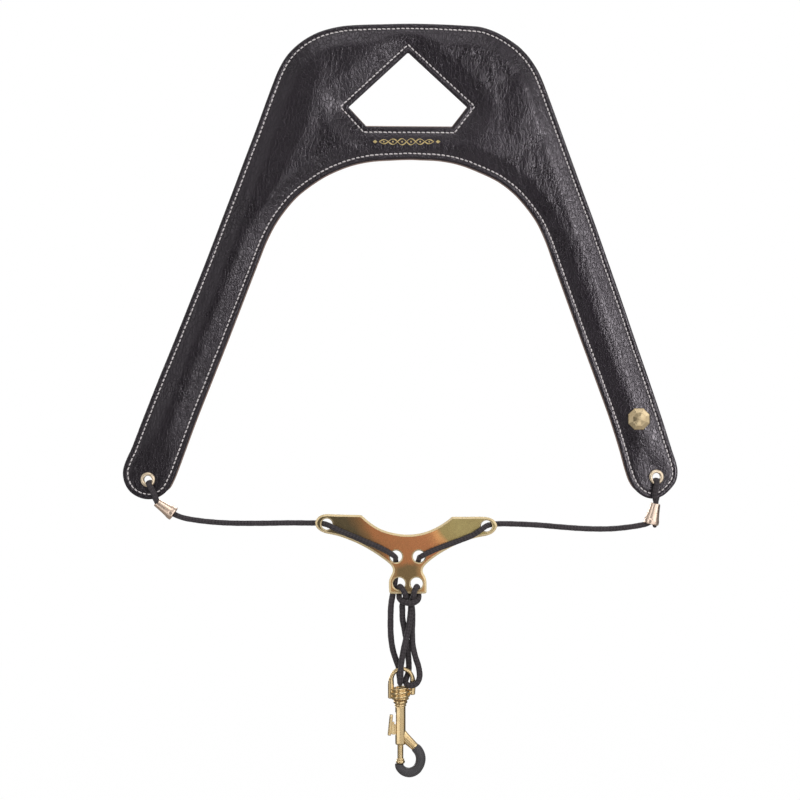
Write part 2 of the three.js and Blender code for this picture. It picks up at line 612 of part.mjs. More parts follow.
// Centre lines (x, z). The hook's runs from the arm's end down, round and up to the tip.
const ARM_END = [3.8, -332.4];
const ARM_LINE = [
  [HOOK_X + 1.2, -325.0], [HOOK_X + 4.2, -328.3], [ARM_END[0] - 0.35, ARM_END[1] + 0.45],
];
const CORE_START = [1.6, -330.0];   // inside the arm
const HOOK_LINE = [
  ARM_END, [6.3, -335.0], [7.05, -338.3], [6.5, -342.1], [4.4, -345.1], [1.4, -346.4],
  [-2.2, -345.4],
];
const CORE_TIP = [-3.95, -344.1];
const COAT_BORE_TIP = [-4.2, -343.75];
const COAT_TIP = [[-4.3, -343.5], [-4.75, -342.0]];

// Swivel head, stem, collar and slotted barrel; the arm leaves the barrel's right side
// and becomes the core of the hook.
function hookBody() {
  const body = turnedOnHook([
    [0, -298.7], [1.9, -298.7], [2.3, -299.1], [2.3, -299.7],
    [STEM_R, -299.7], [STEM_R, -306.7],
    [3.3, -306.7], [3.8, -307.2], [3.8, -308.4], [3.3, -309.2],
    [BARREL_R, BARREL_TOP], [BARREL_R, BARREL_END + 0.5], [BARREL_R - 0.4, BARREL_END],
    [0, BARREL_END],
  ], 12);
  const arm = tube(inHookPlane(ARM_LINE), ARM_R, HOOK_STEP, 8);
  const core = tube(inHookPlane([CORE_START, ...HOOK_LINE, CORE_TIP]), CORE_R, HOOK_STEP, 8);
  const bore = turnedOnHook(pin(BARREL_BORE_R, BORE_TOP, BORE_END), 12);
  const slot = box([4.0, 1.9, 12.6], [HOOK_X - 2.9, HOOK_Y, -319.6]);
  return body.add(arm).add(core).subtract(bore).subtract(slot);
}

function hookCoat() {
  const outer = tube(inHookPlane([...HOOK_LINE, ...COAT_TIP]), COAT_R, HOOK_STEP, 10);
  const boreLine = inHookPlane([CORE_START, ...HOOK_LINE, COAT_BORE_TIP]);
  return outer.subtract(tube(boreLine, CORE_R + COAT_GAP, HOOK_STEP, 8));
}

// Spring bolt: rod in the barrel, flange at the hook's tip, thumb tab through the slot.
function latchBolt() {
  const rod = turnedOnHook([
    [0, -319.4], [ROD_R, -319.4], [ROD_R, -339.6], [2.35, -340.0], [2.35, -340.8],
    [1.9, -341.3], [0, -341.3],
  ], 12);
  const tabStem = box([3.6, 1.4, 5.4], [HOOK_X - 2.75, HOOK_Y, -322.7]);
  const tabBar = box([2.3, 4.2, 11.2], [HOOK_X - 5.55, HOOK_Y, -320.2], 0.105);
  return rod.add(tabStem).add(tabBar);
}

// Coil spring above the rod.
const SPRING = {
  top: -311.2,                    // wire centre at the first and last points
  end: -318.8,
  coils: 6,
  pointsPerCoil: 6,
  coilRadius: 1.3,
  wireRadius: 0.22,
};

function boltSpring() {
  const { top, end, coils, pointsPerCoil, coilRadius, wireRadius } = SPRING;
  const count = coils * pointsPerCoil;
  const points = Array.from({ length: count + 1 }, (_, i) => {
    const angle = (2 * Math.PI * i) / pointsPerCoil;
    return [
      HOOK_X + coilRadius * Math.cos(angle),
      HOOK_Y + coilRadius * Math.sin(angle),
      top + ((end - top) * i) / count,
    ];
  });
  return tube(points, wireRadius, FINE_STEP, 4);
}

// ---------------------------------------------------------------- assembly
// One nested group per moving body, built from the hanging end up.
const bolt = group(piece('latch_bolt', latchBolt(), GOLD));
const hook = group(
  piece('hook_body', hookBody(), GOLD),
  piece('hook_rubber_coat', hookCoat(), RUBBER),
  piece('bolt_spring', boltSpring(), STEEL),
  bolt,
);
const swivel = group(piece('swivel_eye', swivelEye(), GOLD), hook);
const hanger = group(...cordPieces(EYE_TURNS, BIGHT_STEP), swivel);
const drop = group(...cordPieces(STRANDS, STRAND_STEP), hanger);
const dropHead = group(...cordPieces(LEG_HEADS, FINE_STEP), drop);
const plate = group(
  piece('y_plate', yPlate(), BRASS),
  piece('left_plate_cord', tube(LEFT_RUN, CORD_R, PLATE_CORD_STEP), BLACK_CORD),
  piece('right_plate_cord', tube(RIGHT_RUN, CORD_R, PLATE_CORD_STEP), BLACK_CORD),
  piece('cord_hitch', tube(HITCH, HITCH_R, FINE_STEP), BLACK_CORD),
  dropHead,
);
const harness = group(
  piece('left_cord_bell', cordBell(LEFT_BELL), ROSE_GOLD),
  piece('right_cord_bell', cordBell(RIGHT_BELL), ROSE_GOLD),
  piece('left_cord_span', cordSpan(LEFT_SPAN, alongBell(LEFT_BELL, 8.4)), BLACK_CORD),
  piece('right_cord_span', cordSpan(RIGHT_SPAN, alongBell(RIGHT_BELL, 8.2)), BLACK_CORD),
  plate,
);
const yoke = group(
  piece('front_leather', frontLeather(), BLACK_LEATHER),
  piece('back_lining', backLining(), TAUPE_LINING),
  piece('foam_padding', foamPadding(), FOAM),
  ...edgeSeam,
  ...windowSeam,
  piece('left_eyelet', eyelet(LEFT_EYELET), PALE_GOLD),
  piece('right_eyelet', eyelet(RIGHT_EYELET), PALE_GOLD),
  piece('left_eyelet_washer', eyeletWasher(LEFT_EYELET), PALE_GOLD),
  piece('right_eyelet_washer', eyeletWasher(RIGHT_EYELET), PALE_GOLD),
  piece('ornament_stud', ornamentStud(), PALE_GOLD),
  piece('stud_washer', studWasher(), STEEL),
  piece('left_cord_loop', cordLoop(LEFT_EYELET, LEFT_BELL.flex), BLACK_CORD),
  piece('right_cord_loop', cordLoop(RIGHT_EYELET, RIGHT_LOOP_AIM), BLACK_CORD),
  harness,
);
const strap = group(yoke);

export default strap;
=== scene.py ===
"""A black leather yoke, hung with a braided cord, a brass Y plate, a swivel eye and a snap hook.

The product lies in the X-Z plane with +Z up. Its front faces -Y and its left arm is at -X.
Lengths are in mm until a mesh is written; shaders, lights and the camera use metres.
"""
import math

import bmesh
import bpy
import numpy as np
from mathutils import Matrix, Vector, geometry
from numpy.linalg import norm


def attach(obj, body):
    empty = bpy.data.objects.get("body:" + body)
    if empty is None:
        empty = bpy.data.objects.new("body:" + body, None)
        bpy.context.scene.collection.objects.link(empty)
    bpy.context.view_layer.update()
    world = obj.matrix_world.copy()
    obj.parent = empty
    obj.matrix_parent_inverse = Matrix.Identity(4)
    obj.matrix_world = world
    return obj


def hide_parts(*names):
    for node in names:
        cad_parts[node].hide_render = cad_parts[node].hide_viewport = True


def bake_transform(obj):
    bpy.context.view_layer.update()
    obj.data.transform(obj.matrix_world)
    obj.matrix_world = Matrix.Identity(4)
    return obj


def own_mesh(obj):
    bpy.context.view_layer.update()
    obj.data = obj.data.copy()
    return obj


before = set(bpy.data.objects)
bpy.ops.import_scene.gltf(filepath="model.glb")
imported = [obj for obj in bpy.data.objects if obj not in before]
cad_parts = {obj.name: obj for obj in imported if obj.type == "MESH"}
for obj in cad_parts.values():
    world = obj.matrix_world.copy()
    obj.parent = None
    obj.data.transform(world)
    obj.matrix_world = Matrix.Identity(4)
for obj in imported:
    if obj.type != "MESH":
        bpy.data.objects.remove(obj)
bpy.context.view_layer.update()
MM = 0.001
BRAID_PITCH = 3.6       # length of one repeat of the cord's plait
BRAID_STRANDS = 4       # repeats of the plait around the cord
rng = np.random.default_rng(7)
scene = bpy.context.scene
COLLECTION = scene.collection

# =====================================================================
# curves and outlines
# =====================================================================


def unit(vectors):
    return vectors / norm(vectors, axis=-1, keepdims=True)


def ease(low, high, x):
    """Smooth step from 0 at low to 1 at high; low may be the larger."""
    t = np.clip((np.asarray(x, float) - low) / (high - low), 0, 1)
    return t * t * (3 - 2 * t)


def run_length(path):
    return np.concatenate([[0], np.cumsum(norm(np.diff(path, axis=0), axis=1))])


def resample(path, step, closed=False):
    if closed:
        path = np.vstack([path, path[:1]])
    run = run_length(path)
    count = max(3, int(round(run[-1] / step)))
    at = np.linspace(0, run[-1], count if closed else count + 1, endpoint=not closed)
    return np.stack([np.interp(at, run, column) for column in path.T], 1)


def spline(points, step, closed=False):
    """A centripetal Catmull-Rom curve through points, resampled at even spacing."""
    p = np.asarray(points, float)
    if closed:
        padded = np.vstack([p[-1], p, p[0], p[1]])
    else:
        padded = np.vstack([2 * p[0] - p[1], p, 2 * p[-1] - p[-2]])
    pieces = []
    for before, start, end, after in zip(padded, padded[1:], padded[2:], padded[3:]):
        lead = max(norm(start - before), 1e-9) ** 0.5
        span = max(norm(end - start), 1e-9) ** 0.5
        tail = max(norm(after - end), 1e-9) ** 0.5
        chord = (end - start) / span
        slope_in = span * ((start - before) / lead - (end - before) / (lead + span) + chord)
        slope_out = span * (chord - (after - start) / (span + tail) + (after - end) / tail)
        count = max(4, int(norm(end - start) / 0.25))
        t = np.linspace(0, 1, count, endpoint=False)[:, None]
        pieces.append((2 * t**3 - 3 * t**2 + 1) * start + (t**3 - 2 * t**2 + t) * slope_in
                      + (-2 * t**3 + 3 * t**2) * end + (t**3 - t**2) * slope_out)
    if not closed:
        pieces.append(p[-1:])
    return resample(np.vstack(pieces), step, closed)


def tangents(path):
    return unit(np.gradient(path, axis=0))


def frames(path):
    """Tangent and two steady cross directions at each point of an open path."""
    tangent = tangents(path)
    across = np.array([0.0, 1.0, 0.0] if abs(tangent[0][1]) < 0.9 else [1.0, 0.0, 0.0])
    crosses = []
    for direction in tangent:
        across = unit(across - direction * (across @ direction))
        crosses.append(across)
    crosses = np.array(crosses)
    return tangent, crosses, np.cross(tangent, crosses)


def circle(x, z, radius, count):
    angles = np.linspace(0, 2 * np.pi, count, endpoint=False)
    return np.array([[x + radius * math.cos(a), z + radius * math.sin(a)] for a in angles])


def rounded_polygon(corners, radius, step):
    """A polygon with arcs of seven points at its corners and points every step between."""
    arcs = []
    for i in range(len(corners)):
        before, corner, after = corners[i - 1], corners[i], corners[(i + 1) % len(corners)]
        u = (before - corner) / norm(before - corner)
        v = (after - corner) / norm(after - corner)
        angle = math.acos(np.clip(u @ v, -1, 1))
        reach = radius / math.tan(angle / 2)
        start, end = corner + u * reach, corner + v * reach
        centre = corner + (u + v) / norm(u + v) * (radius / math.sin(angle / 2))
        first, last = (math.atan2(*(p - centre)[::-1]) for p in (start, end))
        turn = (last - first + math.pi) % (2 * math.pi) - math.pi
        arcs.append([
            centre + radius * np.array([math.cos(first + turn * t), math.sin(first + turn * t)])
            for t in np.linspace(0, 1, 7)])
    loop = []
    for arc, following in zip(arcs, arcs[1:] + arcs[:1]):
        gap = following[0] - arc[-1]
        count = int(norm(gap) / step)
        loop += arc + [arc[-1] + gap * t for t in np.linspace(0, 1, count + 1)[1:-1]]
    return np.array(loop)


def offset_polygon(corners, distance):
    """Corners moved so that each side shifts to its left by distance."""
    moved = []
    for i in range(len(corners)):
        before, corner, after = corners[i - 1], corners[i], corners[(i + 1) % len(corners)]
        side_in, side_out = corner - before, after - corner
        normal_in = np.array([-side_in[1], side_in[0]]) / norm(side_in)
        normal_out = np.array([-side_out[1], side_out[0]]) / norm(side_out)
        mitre = (normal_in + normal_out) / norm(normal_in + normal_out)
        moved.append(corner + mitre * distance / (mitre @ normal_in))
    return np.array(moved)


def rounded(profile, radius, steps):
    """A closed profile with rounded corners; points on the turning axis stay as they are."""
    p = np.asarray(profile, float)
    points = []
    for i, corner in enumerate(p):
        if corner[0] < 1e-6:
            points.append(corner)
            continue
        u, v = p[i - 1] - corner, p[(i + 1) % len(p)] - corner
        reach = min(radius, norm(u) * 0.45, norm(v) * 0.45)
        start, end = corner + u / norm(u) * reach, corner + v / norm(v) * reach
        for t in np.linspace(0, 1, steps):
            points.append((1 - t) ** 2 * start + 2 * t * (1 - t) * corner + t**2 * end)
    return np.array(points)


def inside(points, loop):
    x, z = points.T
    odd = np.zeros(len(points), bool)
    for (x0, z0), (x1, z1) in zip(loop, np.roll(loop, -1, 0)):
        if z0 != z1:
            odd ^= ((z0 > z) != (z1 > z)) & (x < (x1 - x0) * (z - z0) / (z1 - z0) + x0)
    return odd


def between(points, loops):
    """Which points lie inside the first loop and outside the others."""
    keep = inside(points, loops[0])
    for hole in loops[1:]:
        keep &= ~inside(points, hole)
    return keep


def nearest(points, cloud, chunk=2000):
    """Distance from each point to the closest point of the cloud."""
    distance = np.empty(len(points))
    for i in range(0, len(points), chunk):
        gap = points[i : i + chunk, None, :] - cloud[None, :, :]
        distance[i : i + chunk] = np.sqrt((gap**2).sum(2).min(1))
    return distance


def material_normals(loop, hole=False):
    """Unit normals of a closed loop, pointing into the material it bounds."""
    x, z = loop.T
    counterclockwise = np.sum(x * np.roll(z, -1) - np.roll(x, -1) * z) > 0
    along = unit(np.roll(loop, -1, 0) - np.roll(loop, 1, 0))
    return np.stack([along[:, 1], -along[:, 0]], 1) * (-1 if counterclockwise != hole else 1)


# =====================================================================
# meshes
# =====================================================================


def link_object(name, mesh):
    obj = bpy.data.objects.new(name, mesh)
    COLLECTION.objects.link(obj)
    return obj


def add_mesh(name, verts, faces, materials, uvs=None, slots=None, smooth=True, sharp_deg=None):
    mesh = bpy.data.meshes.new(name)
    verts = np.asarray(verts, float) * MM
    mesh.from_pydata(verts.tolist(), [], [tuple(int(i) for i in face) for face in faces])
    for material in materials if isinstance(materials, list) else [materials]:
        mesh.materials.append(material)
    if slots is not None:
        mesh.polygons.foreach_set("material_index", np.asarray(slots, np.int32))
    if uvs is not None:
        layer = mesh.uv_layers.new(name="UVMap")
        corners = np.zeros(len(mesh.loops), np.int32)
        mesh.loops.foreach_get("vertex_index", corners)
        layer.data.foreach_set("uv", np.asarray(uvs, np.float32)[corners].ravel())
    mesh.polygons.foreach_set("use_smooth", np.full(len(mesh.polygons), smooth))
    mesh.update()
    obj = link_object(name, mesh)
    bm = bmesh.new()
    bm.from_mesh(mesh)
    bmesh.ops.recalc_face_normals(bm, faces=bm.faces)
    if sharp_deg:
        for edge in bm.edges:
            if len(edge.link_faces) == 2 and edge.calc_face_angle(0) > math.radians(sharp_deg):
                edge.smooth = False
    bm.to_mesh(mesh)
    bm.free()
    return obj


def apply_modifiers(obj):
    depsgraph = bpy.context.evaluated_depsgraph_get()
    mesh = bpy.data.meshes.new_from_object(obj.evaluated_get(depsgraph))
    obj.modifiers.clear()
    obj.data = mesh
    return obj


def bevel(obj, width, segments, angle_deg):
    modifier = obj.modifiers.new("bevel", "BEVEL")
    modifier.width, modifier.segments = width * MM, segments
    modifier.limit_method, modifier.angle_limit = "ANGLE", math.radians(angle_deg)
    apply_modifiers(obj)


def boolean(obj, other, operation="UNION"):
    modifier = obj.modifiers.new("boolean", "BOOLEAN")
    modifier.operation, modifier.solver, modifier.object = operation, "EXACT", other
    bpy.context.view_layer.update()
    apply_modifiers(obj)
    bpy.data.objects.remove(other)


def shade_by_angle(obj, sharp_deg):
    """Merges stray vertices, marks sharp edges and weights the normals."""
    bm = bmesh.new()
    bm.from_mesh(obj.data)
    bmesh.ops.remove_doubles(bm, verts=bm.verts, dist=2e-6)
    bmesh.ops.dissolve_degenerate(bm, edges=bm.edges, dist=1e-7)
    for face in bm.faces:
        face.smooth = True
    for edge in bm.edges:
        if len(edge.link_faces) == 2:
            edge.smooth = edge.calc_face_angle(0) < math.radians(sharp_deg)
    bm.to_mesh(obj.data)
    bm.free()
    modifier = obj.modifiers.new("weighted_normal", "WEIGHTED_NORMAL")
    modifier.keep_sharp, modifier.weight = True, 60
    apply_modifiers(obj)


def ring_quads(rings, sides, base=0):
    """Quads between rings of points stored one after another from index base."""
    return [
        (row + j, row + (j + 1) % sides, row + sides + (j + 1) % sides, row + sides + j)
        for row in range(base, base + (rings - 1) * sides, sides) for j in range(sides)]


def skin(name, rings, ends, material, uvs=None):
    """A tube over an array of rings, closed by a fan to a point at each end."""
    count, sides = rings.shape[:2]
    last, start = (count - 1) * sides, count * sides
    faces = ring_quads(count, sides)
    for j in range(sides):
        k = (j + 1) % sides
        faces += [(start, k, j), (start + 1, last + j, last + k)]
    return add_mesh(name, np.vstack([rings.reshape(-1, 3), *ends]), faces, material, uvs=uvs)


def extend_path(path, tangent, steps, reach, least):
    """Carries a path past its ends for rounded caps; steps of 0 leave it flat.

    Returns the points, their overrun past the ends and the scale of the section.
    """
    out = np.linspace(0, 1, steps + 1)[1:]
    shrink = np.sqrt(np.clip(1 - out**2, least, 1))
    before = path[0] - tangent[0] * reach[0] * out[::-1, None]
    after = path[-1] + tangent[-1] * reach[1] * out[:, None]
    still = np.zeros(len(path))
    overrun = np.concatenate([-out[::-1] * reach[0], still, out * reach[1]])
    return (np.vstack([before, path, after]), overrun,
            np.concatenate([shrink[::-1], still + 1, shrink]))


def pad_ends(values, steps):
    return np.pad(values, [(steps, steps)] + [(0, 0)] * (values.ndim - 1), mode="edge")


def sweep(name, path, radius, material, sides, uv_start=0.0, round_caps=False, oval=None,
          frame=None, braid=0.0, hollow=0.0):
    """A round section along a path, with U along it in mm and V around it.

    radius: one number, or one per point. oval: two factors per point for the section's two
    directions. braid: relief of the plait. hollow: how deep the end fans sink.
    """
    tangent, cross_a, cross_b = frame or frames(path)
    radius = np.broadcast_to(np.asarray(radius, float), len(path))
    steps = 5 if round_caps else 0
    points, overrun, scale = extend_path(path, tangent, steps, radius[[0, -1]], least=0.0004)
    radius = pad_ends(radius, steps) * scale
    run = pad_ends(uv_start + run_length(path), steps) + overrun
    wide, deep = oval or np.ones((2, len(points)))
    around = 2 * np.pi * np.arange(sides) / sides
    turn, twist = BRAID_STRANDS * around[None, :], run[:, None] * 2 * np.pi / BRAID_PITCH
    relief = 1 + braid * np.sin(turn + twist) * np.sin(turn - twist)
    section = (pad_ends(cross_a, steps)[:, None, :] * (wide[:, None] * np.cos(around))[..., None]
               + pad_ends(cross_b, steps)[:, None, :] * (deep[:, None] * np.sin(around))[..., None])
    rings = points[:, None, :] + (radius[:, None] * relief)[..., None] * section
    ends = (points[0] + tangent[0] * hollow, points[-1] - tangent[-1] * hollow)
    uvs = np.stack([np.repeat(run, sides), np.tile(np.arange(sides) / sides, len(points))], 1)
    uvs = np.vstack([uvs, [[run[0], 0.5], [run[-1], 0.5]]])
    return skin(name, rings, ends, material, uvs)


def rod(name, path, half_width, half_depth, material, sides=24, round_caps=True):
    """An oval rod along a path in the X-Z plane: half_width in that plane, half_depth in Y."""
    tangent = tangents(path)
    depth_axis = np.array([0.0, 1.0, 0.0])
    across = unit(np.cross(np.tile(depth_axis, (len(path), 1)), tangent))
    wide, deep = (np.broadcast_to(np.asarray(half, float), len(path))
                  for half in (half_width, half_depth))
    steps = 6 if round_caps else 0
    reach = np.minimum(wide, deep)[[0, -1]] * 0.7
    points, _, scale = extend_path(path, tangent, steps, reach, least=0.002)
    wide, deep = pad_ends(wide, steps) * scale, pad_ends(deep, steps) * scale
    around = 2 * np.pi * np.arange(sides) / sides
    rings = (points[:, None, :]
             + pad_ends(across, steps)[:, None, :] * (wide[:, None] * np.cos(around))[..., None]
             + depth_axis * (deep[:, None] * np.sin(around))[..., None])
    return skin(name, rings, (points[0], points[-1]), material)


def lathe(name, profile, origin, axis, material, segments, sharp_deg=50, radius_scale=None):
    """Turns a profile of (radius, along) about an axis through origin.

    A profile clear of the axis closes on itself as a ring. radius_scale takes an angle.
    """
    turn = Vector((0, 0, 1)).rotation_difference(Vector(axis).normalized())
    angles = 2 * np.pi * np.arange(segments) / segments
    scales = [radius_scale(a) if radius_scale else 1.0 for a in angles]
    verts, rings, faces = [], [], []
    for radius, along in profile:
        on_axis = radius < 1e-6
        rings.append((len(verts), on_axis))
        if on_axis:
            verts.append((0, 0, along))
        else:
            verts += [(radius * k * math.cos(a), radius * k * math.sin(a), along)
                      for k, a in zip(scales, angles)]
    for (low, low_pole), (high, high_pole) in zip(rings, rings[1:] + rings[:1]):
        for j in range(segments):
            k = (j + 1) % segments
            if not low_pole and not high_pole:
                faces.append((low + j, low + k, high + k, high + j))
            elif not low_pole:
                faces.append((low + j, low + k, high))
            elif not high_pole:
                faces.append((low, high + k, high + j))
    verts = [tuple(turn @ Vector(v) + Vector(origin)) for v in verts]
    return add_mesh(name, verts, faces, material, sharp_deg=sharp_deg)


def triangulate(loops, extra=np.empty((0, 2))):
    """Triangles between the first loop and the others, through the extra points.

    Indices count through the loops and then the extra points.
    """
    points, edges, start = np.vstack([*loops, extra]), [], 0
    for loop in loops:
        count = len(loop)
        edges += [(start + j, start + (j + 1) % count) for j in range(count)]
        start += count
    _, _, faces, origins, _, _ = geometry.delaunay_2d_cdt(
        [Vector(p) for p in points], edges, [], 0, 1e-7)
    source = {i: origin[0] for i, origin in enumerate(origins) if origin}
    triangles = [tuple(source.get(i, -1) for i in face) for face in faces]
    triangles = [t for t in triangles if -1 not in t and len(set(t)) == 3]
    keep = between(points[np.array(triangles)].mean(1), loops)
    return [t for t, kept in zip(triangles, keep) if kept]


def at_depth(points, y):
    return np.stack([points[:, 0], y, points[:, 1]], 1)


def sheet(name, outer, holes, ring_depths, grid, face, reverse, materials, wall_bulge=0.0):
    """A sheet with holes: rings that follow every edge at ring_depths, and a fill between.

    face(points, d_outer, d_hole) gives its y. reverse is the same for the other side, or one
    number for a plain flat side. A second material takes the reverse and the walls.
    """
    loops = [outer, *holes]
    normals = [material_normals(loop, hole=i > 0) for i, loop in enumerate(loops)]
    points, faces, first_rings, last_rings, start = [], [], [], [], 0
    for loop, normal, depths in zip(loops, normals, ring_depths):
        count = len(loop)
        points += [loop + normal * depth for depth in depths]
        faces += ring_quads(len(depths), count, start)
        first_rings.append(np.arange(start, start + count))
        start += len(depths) * count
        last_rings.append(np.arange(start - count, start))
    points = np.vstack(points)

    # staggered grid of fill points inside the last rings
    inner = [points[ring] for ring in last_rings]
    low, high = inner[0].min(0), inner[0].max(0)
    x, z = np.meshgrid(np.arange(low[0], high[0], grid), np.arange(low[1], high[1], grid * 0.866))
    x = x + (np.arange(len(x)) % 2)[:, None] * grid / 2
    fill = np.stack([x.ravel(), z.ravel()], 1)
    fill = fill[between(fill, inner)]
    fill = fill[nearest(fill, np.vstack(inner)) > grid * 0.55]
    index = np.concatenate([*last_rings, np.arange(start, start + len(fill))])
    faces += [tuple(index[list(t)]) for t in triangulate(inner, fill)]
    points = np.vstack([points, fill])

    # ring depths are known exactly, so they replace the sampled distance
    d_outer, d_hole = nearest(points, outer), nearest(points, np.vstack(holes))
    row = 0
    for i, (loop, depths) in enumerate(zip(loops, ring_depths)):
        size = len(loop) * len(depths)
        (d_hole if i else d_outer)[row : row + size] = np.repeat(depths, len(loop))
        row += size

    if callable(reverse):
        back, back_y = points, reverse(points, d_outer, d_hole)
        back_faces, back_rings = faces, first_rings
    else:
        rims = [points[ring] for ring in first_rings]
        back = np.vstack(rims)
        back_y = np.full(len(back), reverse)
        back_faces = triangulate(rims)
        back_rings = np.split(np.arange(len(back)), np.cumsum([len(rim) for rim in rims])[:-1])
    count = len(points)
    back_faces = [tuple(count + i for i in f[::-1]) for f in back_faces]
    verts = np.vstack([at_depth(points, face(points, d_outer, d_hole)), at_depth(back, back_y)])
    walls = []
    for normal, near, far in zip(normals, first_rings, back_rings):
        far = far + count
        base, sides = len(verts), len(near)
        middle = (verts[near] + verts[far]) / 2
        middle[:, [0, 2]] -= normal * wall_bulge
        verts = np.vstack([verts, middle])
        for j in range(sides):
            k = (j + 1) % sides
            walls += [(near[j], base + j, base + k, near[k]),
                      (base + j, far[j], far[k], base + k)]
    slots = None
    if len(materials) > 1:
        slots = [0] * len(faces) + [1] * (len(back_faces) + len(walls))
    return add_mesh(name, verts, faces + back_faces + walls, materials, slots=slots)


# =====================================================================
# node trees
# =====================================================================


class Nodes:
    """Builds a node tree. An input is a number, a tuple or the socket that feeds it."""

    def __init__(self, owner):
        self.owner = owner
        owner.use_nodes = True
        self.tree = owner.node_tree
        self.tree.nodes.clear()
        self.coord = self.add("TexCoord", {})

    def add(self, kind, inputs, **properties):
        node = self.tree.nodes.new("ShaderNode" + kind)
        for key, value in properties.items():
            setattr(node, key, value)
        for key, value in inputs.items():
            socket = node.inputs[key]
            if isinstance(value, bpy.types.NodeSocket):
                self.tree.links.new(value, socket)
            elif value is not None:
                socket.default_value = (*value[:3], 1) if socket.type == "RGBA" else value
        return node

    def place(self, scale=(1, 1, 1), turn=(0, 0, 0), space="Object"):
        inputs = {"Scale": scale, "Rotation": turn, "Vector": self.coord.outputs[space]}
        return self.add("Mapping", inputs).outputs[0]

    def noise(self, vector, scale, detail=3, rough=0.5, distortion=0.0, output="Fac"):
        inputs = {"Scale": scale, "Detail": detail, "Roughness": rough,
                  "Distortion": distortion, "Vector": vector}
        return self.add("TexNoise", inputs).outputs[output]

    def cell_edges(self, vector, scale):
        inputs = {"Scale": scale, "Randomness": 1.0, "Vector": vector}
        node = self.add("TexVoronoi", inputs, feature="DISTANCE_TO_EDGE")
        return node.outputs["Distance"]

    def split(self, vector):
        return self.add("SeparateXYZ", {0: vector}).outputs

    def math(self, operation, a, b=None):
        return self.add("Math", {0: a, 1: b}, operation=operation).outputs[0]

    def total(self, *terms):
        """Sum of sockets, each plain or as (socket, weight)."""
        parts = [self.math("MULTIPLY", *t) if isinstance(t, tuple) else t for t in terms]
        result = parts[0]
        for part in parts[1:]:
            result = self.math("ADD", result, part)
        return result

    def remap(self, value, span=(0.0, 1.0), to=(0.0, 1.0), **properties):
        inputs = {"From Min": span[0], "From Max": span[1], "To Min": to[0], "To Max": to[1]}
        return self.add("MapRange", {**inputs, "Value": value}, **properties).outputs[0]

    def ramp(self, factor, stops, interpolation="LINEAR"):
        node = self.add("ValToRGB", {0: factor})
        node.color_ramp.interpolation = interpolation
        elements = node.color_ramp.elements
        while len(elements) < len(stops):
            elements.new(0.5)
        for element, (position, color) in zip(elements, stops):
            element.position = position
            element.color = (*color, 1)
        return node.outputs[0]

    def mix(self, factor, a, b):
        return self.add("Mix", {0: factor, 6: a, 7: b}, data_type="RGBA").outputs[2]

    def bump(self, height, strength, distance, under=None):
        inputs = {"Strength": strength, "Distance": distance, "Height": height, "Normal": under}
        return self.add("Bump", inputs).outputs[0]

    def output(self, kind, shader):
        self.add(kind, {"Surface": shader.outputs[0]})
        return self.owner

    def surface(self, color, roughness, metallic, normal, **others):
        inputs = {"Base Color": color, "Roughness": roughness, "Metallic": metallic,
                  "Normal": normal}
        inputs.update({key.replace("_", " "): value for key, value in others.items()})
        return self.output("OutputMaterial", self.add("BsdfPrincipled", inputs))


def new_material(name):
    return Nodes(bpy.data.materials.new(name))


def scaled(color, factor):
    return tuple(c * factor for c in color)


# =====================================================================
# materials
# =====================================================================


def leather(name):
    """Soft pebbled black leather: pebbles long in Z and glossier on their tops."""
    n = new_material(name)
    tint = (0.0084, 0.0062, 0.0089)
    base = n.place(scale=(1.0, 1.0, 0.58))
    wander = n.noise(base, scale=300, detail=2, output="Color")
    drift = n.add("VectorMath", {0: wander, "Scale": 0.0013}, operation="SCALE").outputs[0]
    warped = n.add("VectorMath", {0: base, 1: drift}, operation="ADD").outputs[0]
    edge = n.cell_edges(warped, scale=560)
    pebble = n.remap(edge, span=(0.0, 0.13))
    dome = n.remap(edge, span=(0.1, 0.5))
    grain = n.remap(n.cell_edges(warped, scale=1350), span=(0.0, 0.10))
    pores = n.noise(base, scale=5200, detail=3, rough=0.6)
    stretched = n.place(scale=(1.0, 1.0, 0.26), turn=(0, 0.05, 0))
    streaks = n.noise(stretched, scale=420, detail=3, rough=0.55, distortion=0.6)
    centred = n.math("ABSOLUTE", n.math("SUBTRACT", streaks, 0.5))
    crease = n.remap(centred, span=(0.0, 0.05))
    broad = n.noise(n.place(), scale=34, detail=3, rough=0.55)
    patches = n.noise(n.place(scale=(1, 1, 0.5)), scale=26, detail=2)
    creased = n.math("MULTIPLY", crease, n.remap(patches, span=(0.38, 0.62), to=(0.25, 1.0)))
    height = n.total((pebble, 0.29), (grain, 0.04), (dome, 0.12), (pores, 0.012), (creased, 0.24))
    normal = n.bump(height, strength=0.95, distance=0.00022)
    normal = n.bump(broad, strength=0.4, distance=0.0026, under=normal)
    # the grooves between the pebbles are painted darker: painted shade in the recesses
    color = n.mix(pebble, scaled(tint, 0.45), tint)
    color = n.mix(n.remap(broad, span=(0.3, 0.7), to=(0.0, 0.6)), color, scaled(tint, 1.45))
    rough = n.total(n.remap(pebble, to=(0.45, 0.28)),
                    n.remap(broad, span=(0.3, 0.7), to=(-0.03, 0.05)))
    return n.surface(color, rough, 0.0, normal, Specular_IOR_Level=0.5,
                     Specular_Tint=(1.0, 0.93, 1.0))


def cut_edge(name, tint):
    n = new_material(name)
    fibre = n.noise(n.place(scale=(1, 6, 1)), scale=900, detail=4, rough=0.65)
    color = n.ramp(fibre, [(0.3, scaled(tint, 0.6)), (0.7, tint)])
    rough = n.remap(fibre, span=(0.3, 0.7), to=(0.45, 0.65))
    return n.surface(color, rough, 0.0, n.bump(fibre, strength=0.35, distance=0.0002))


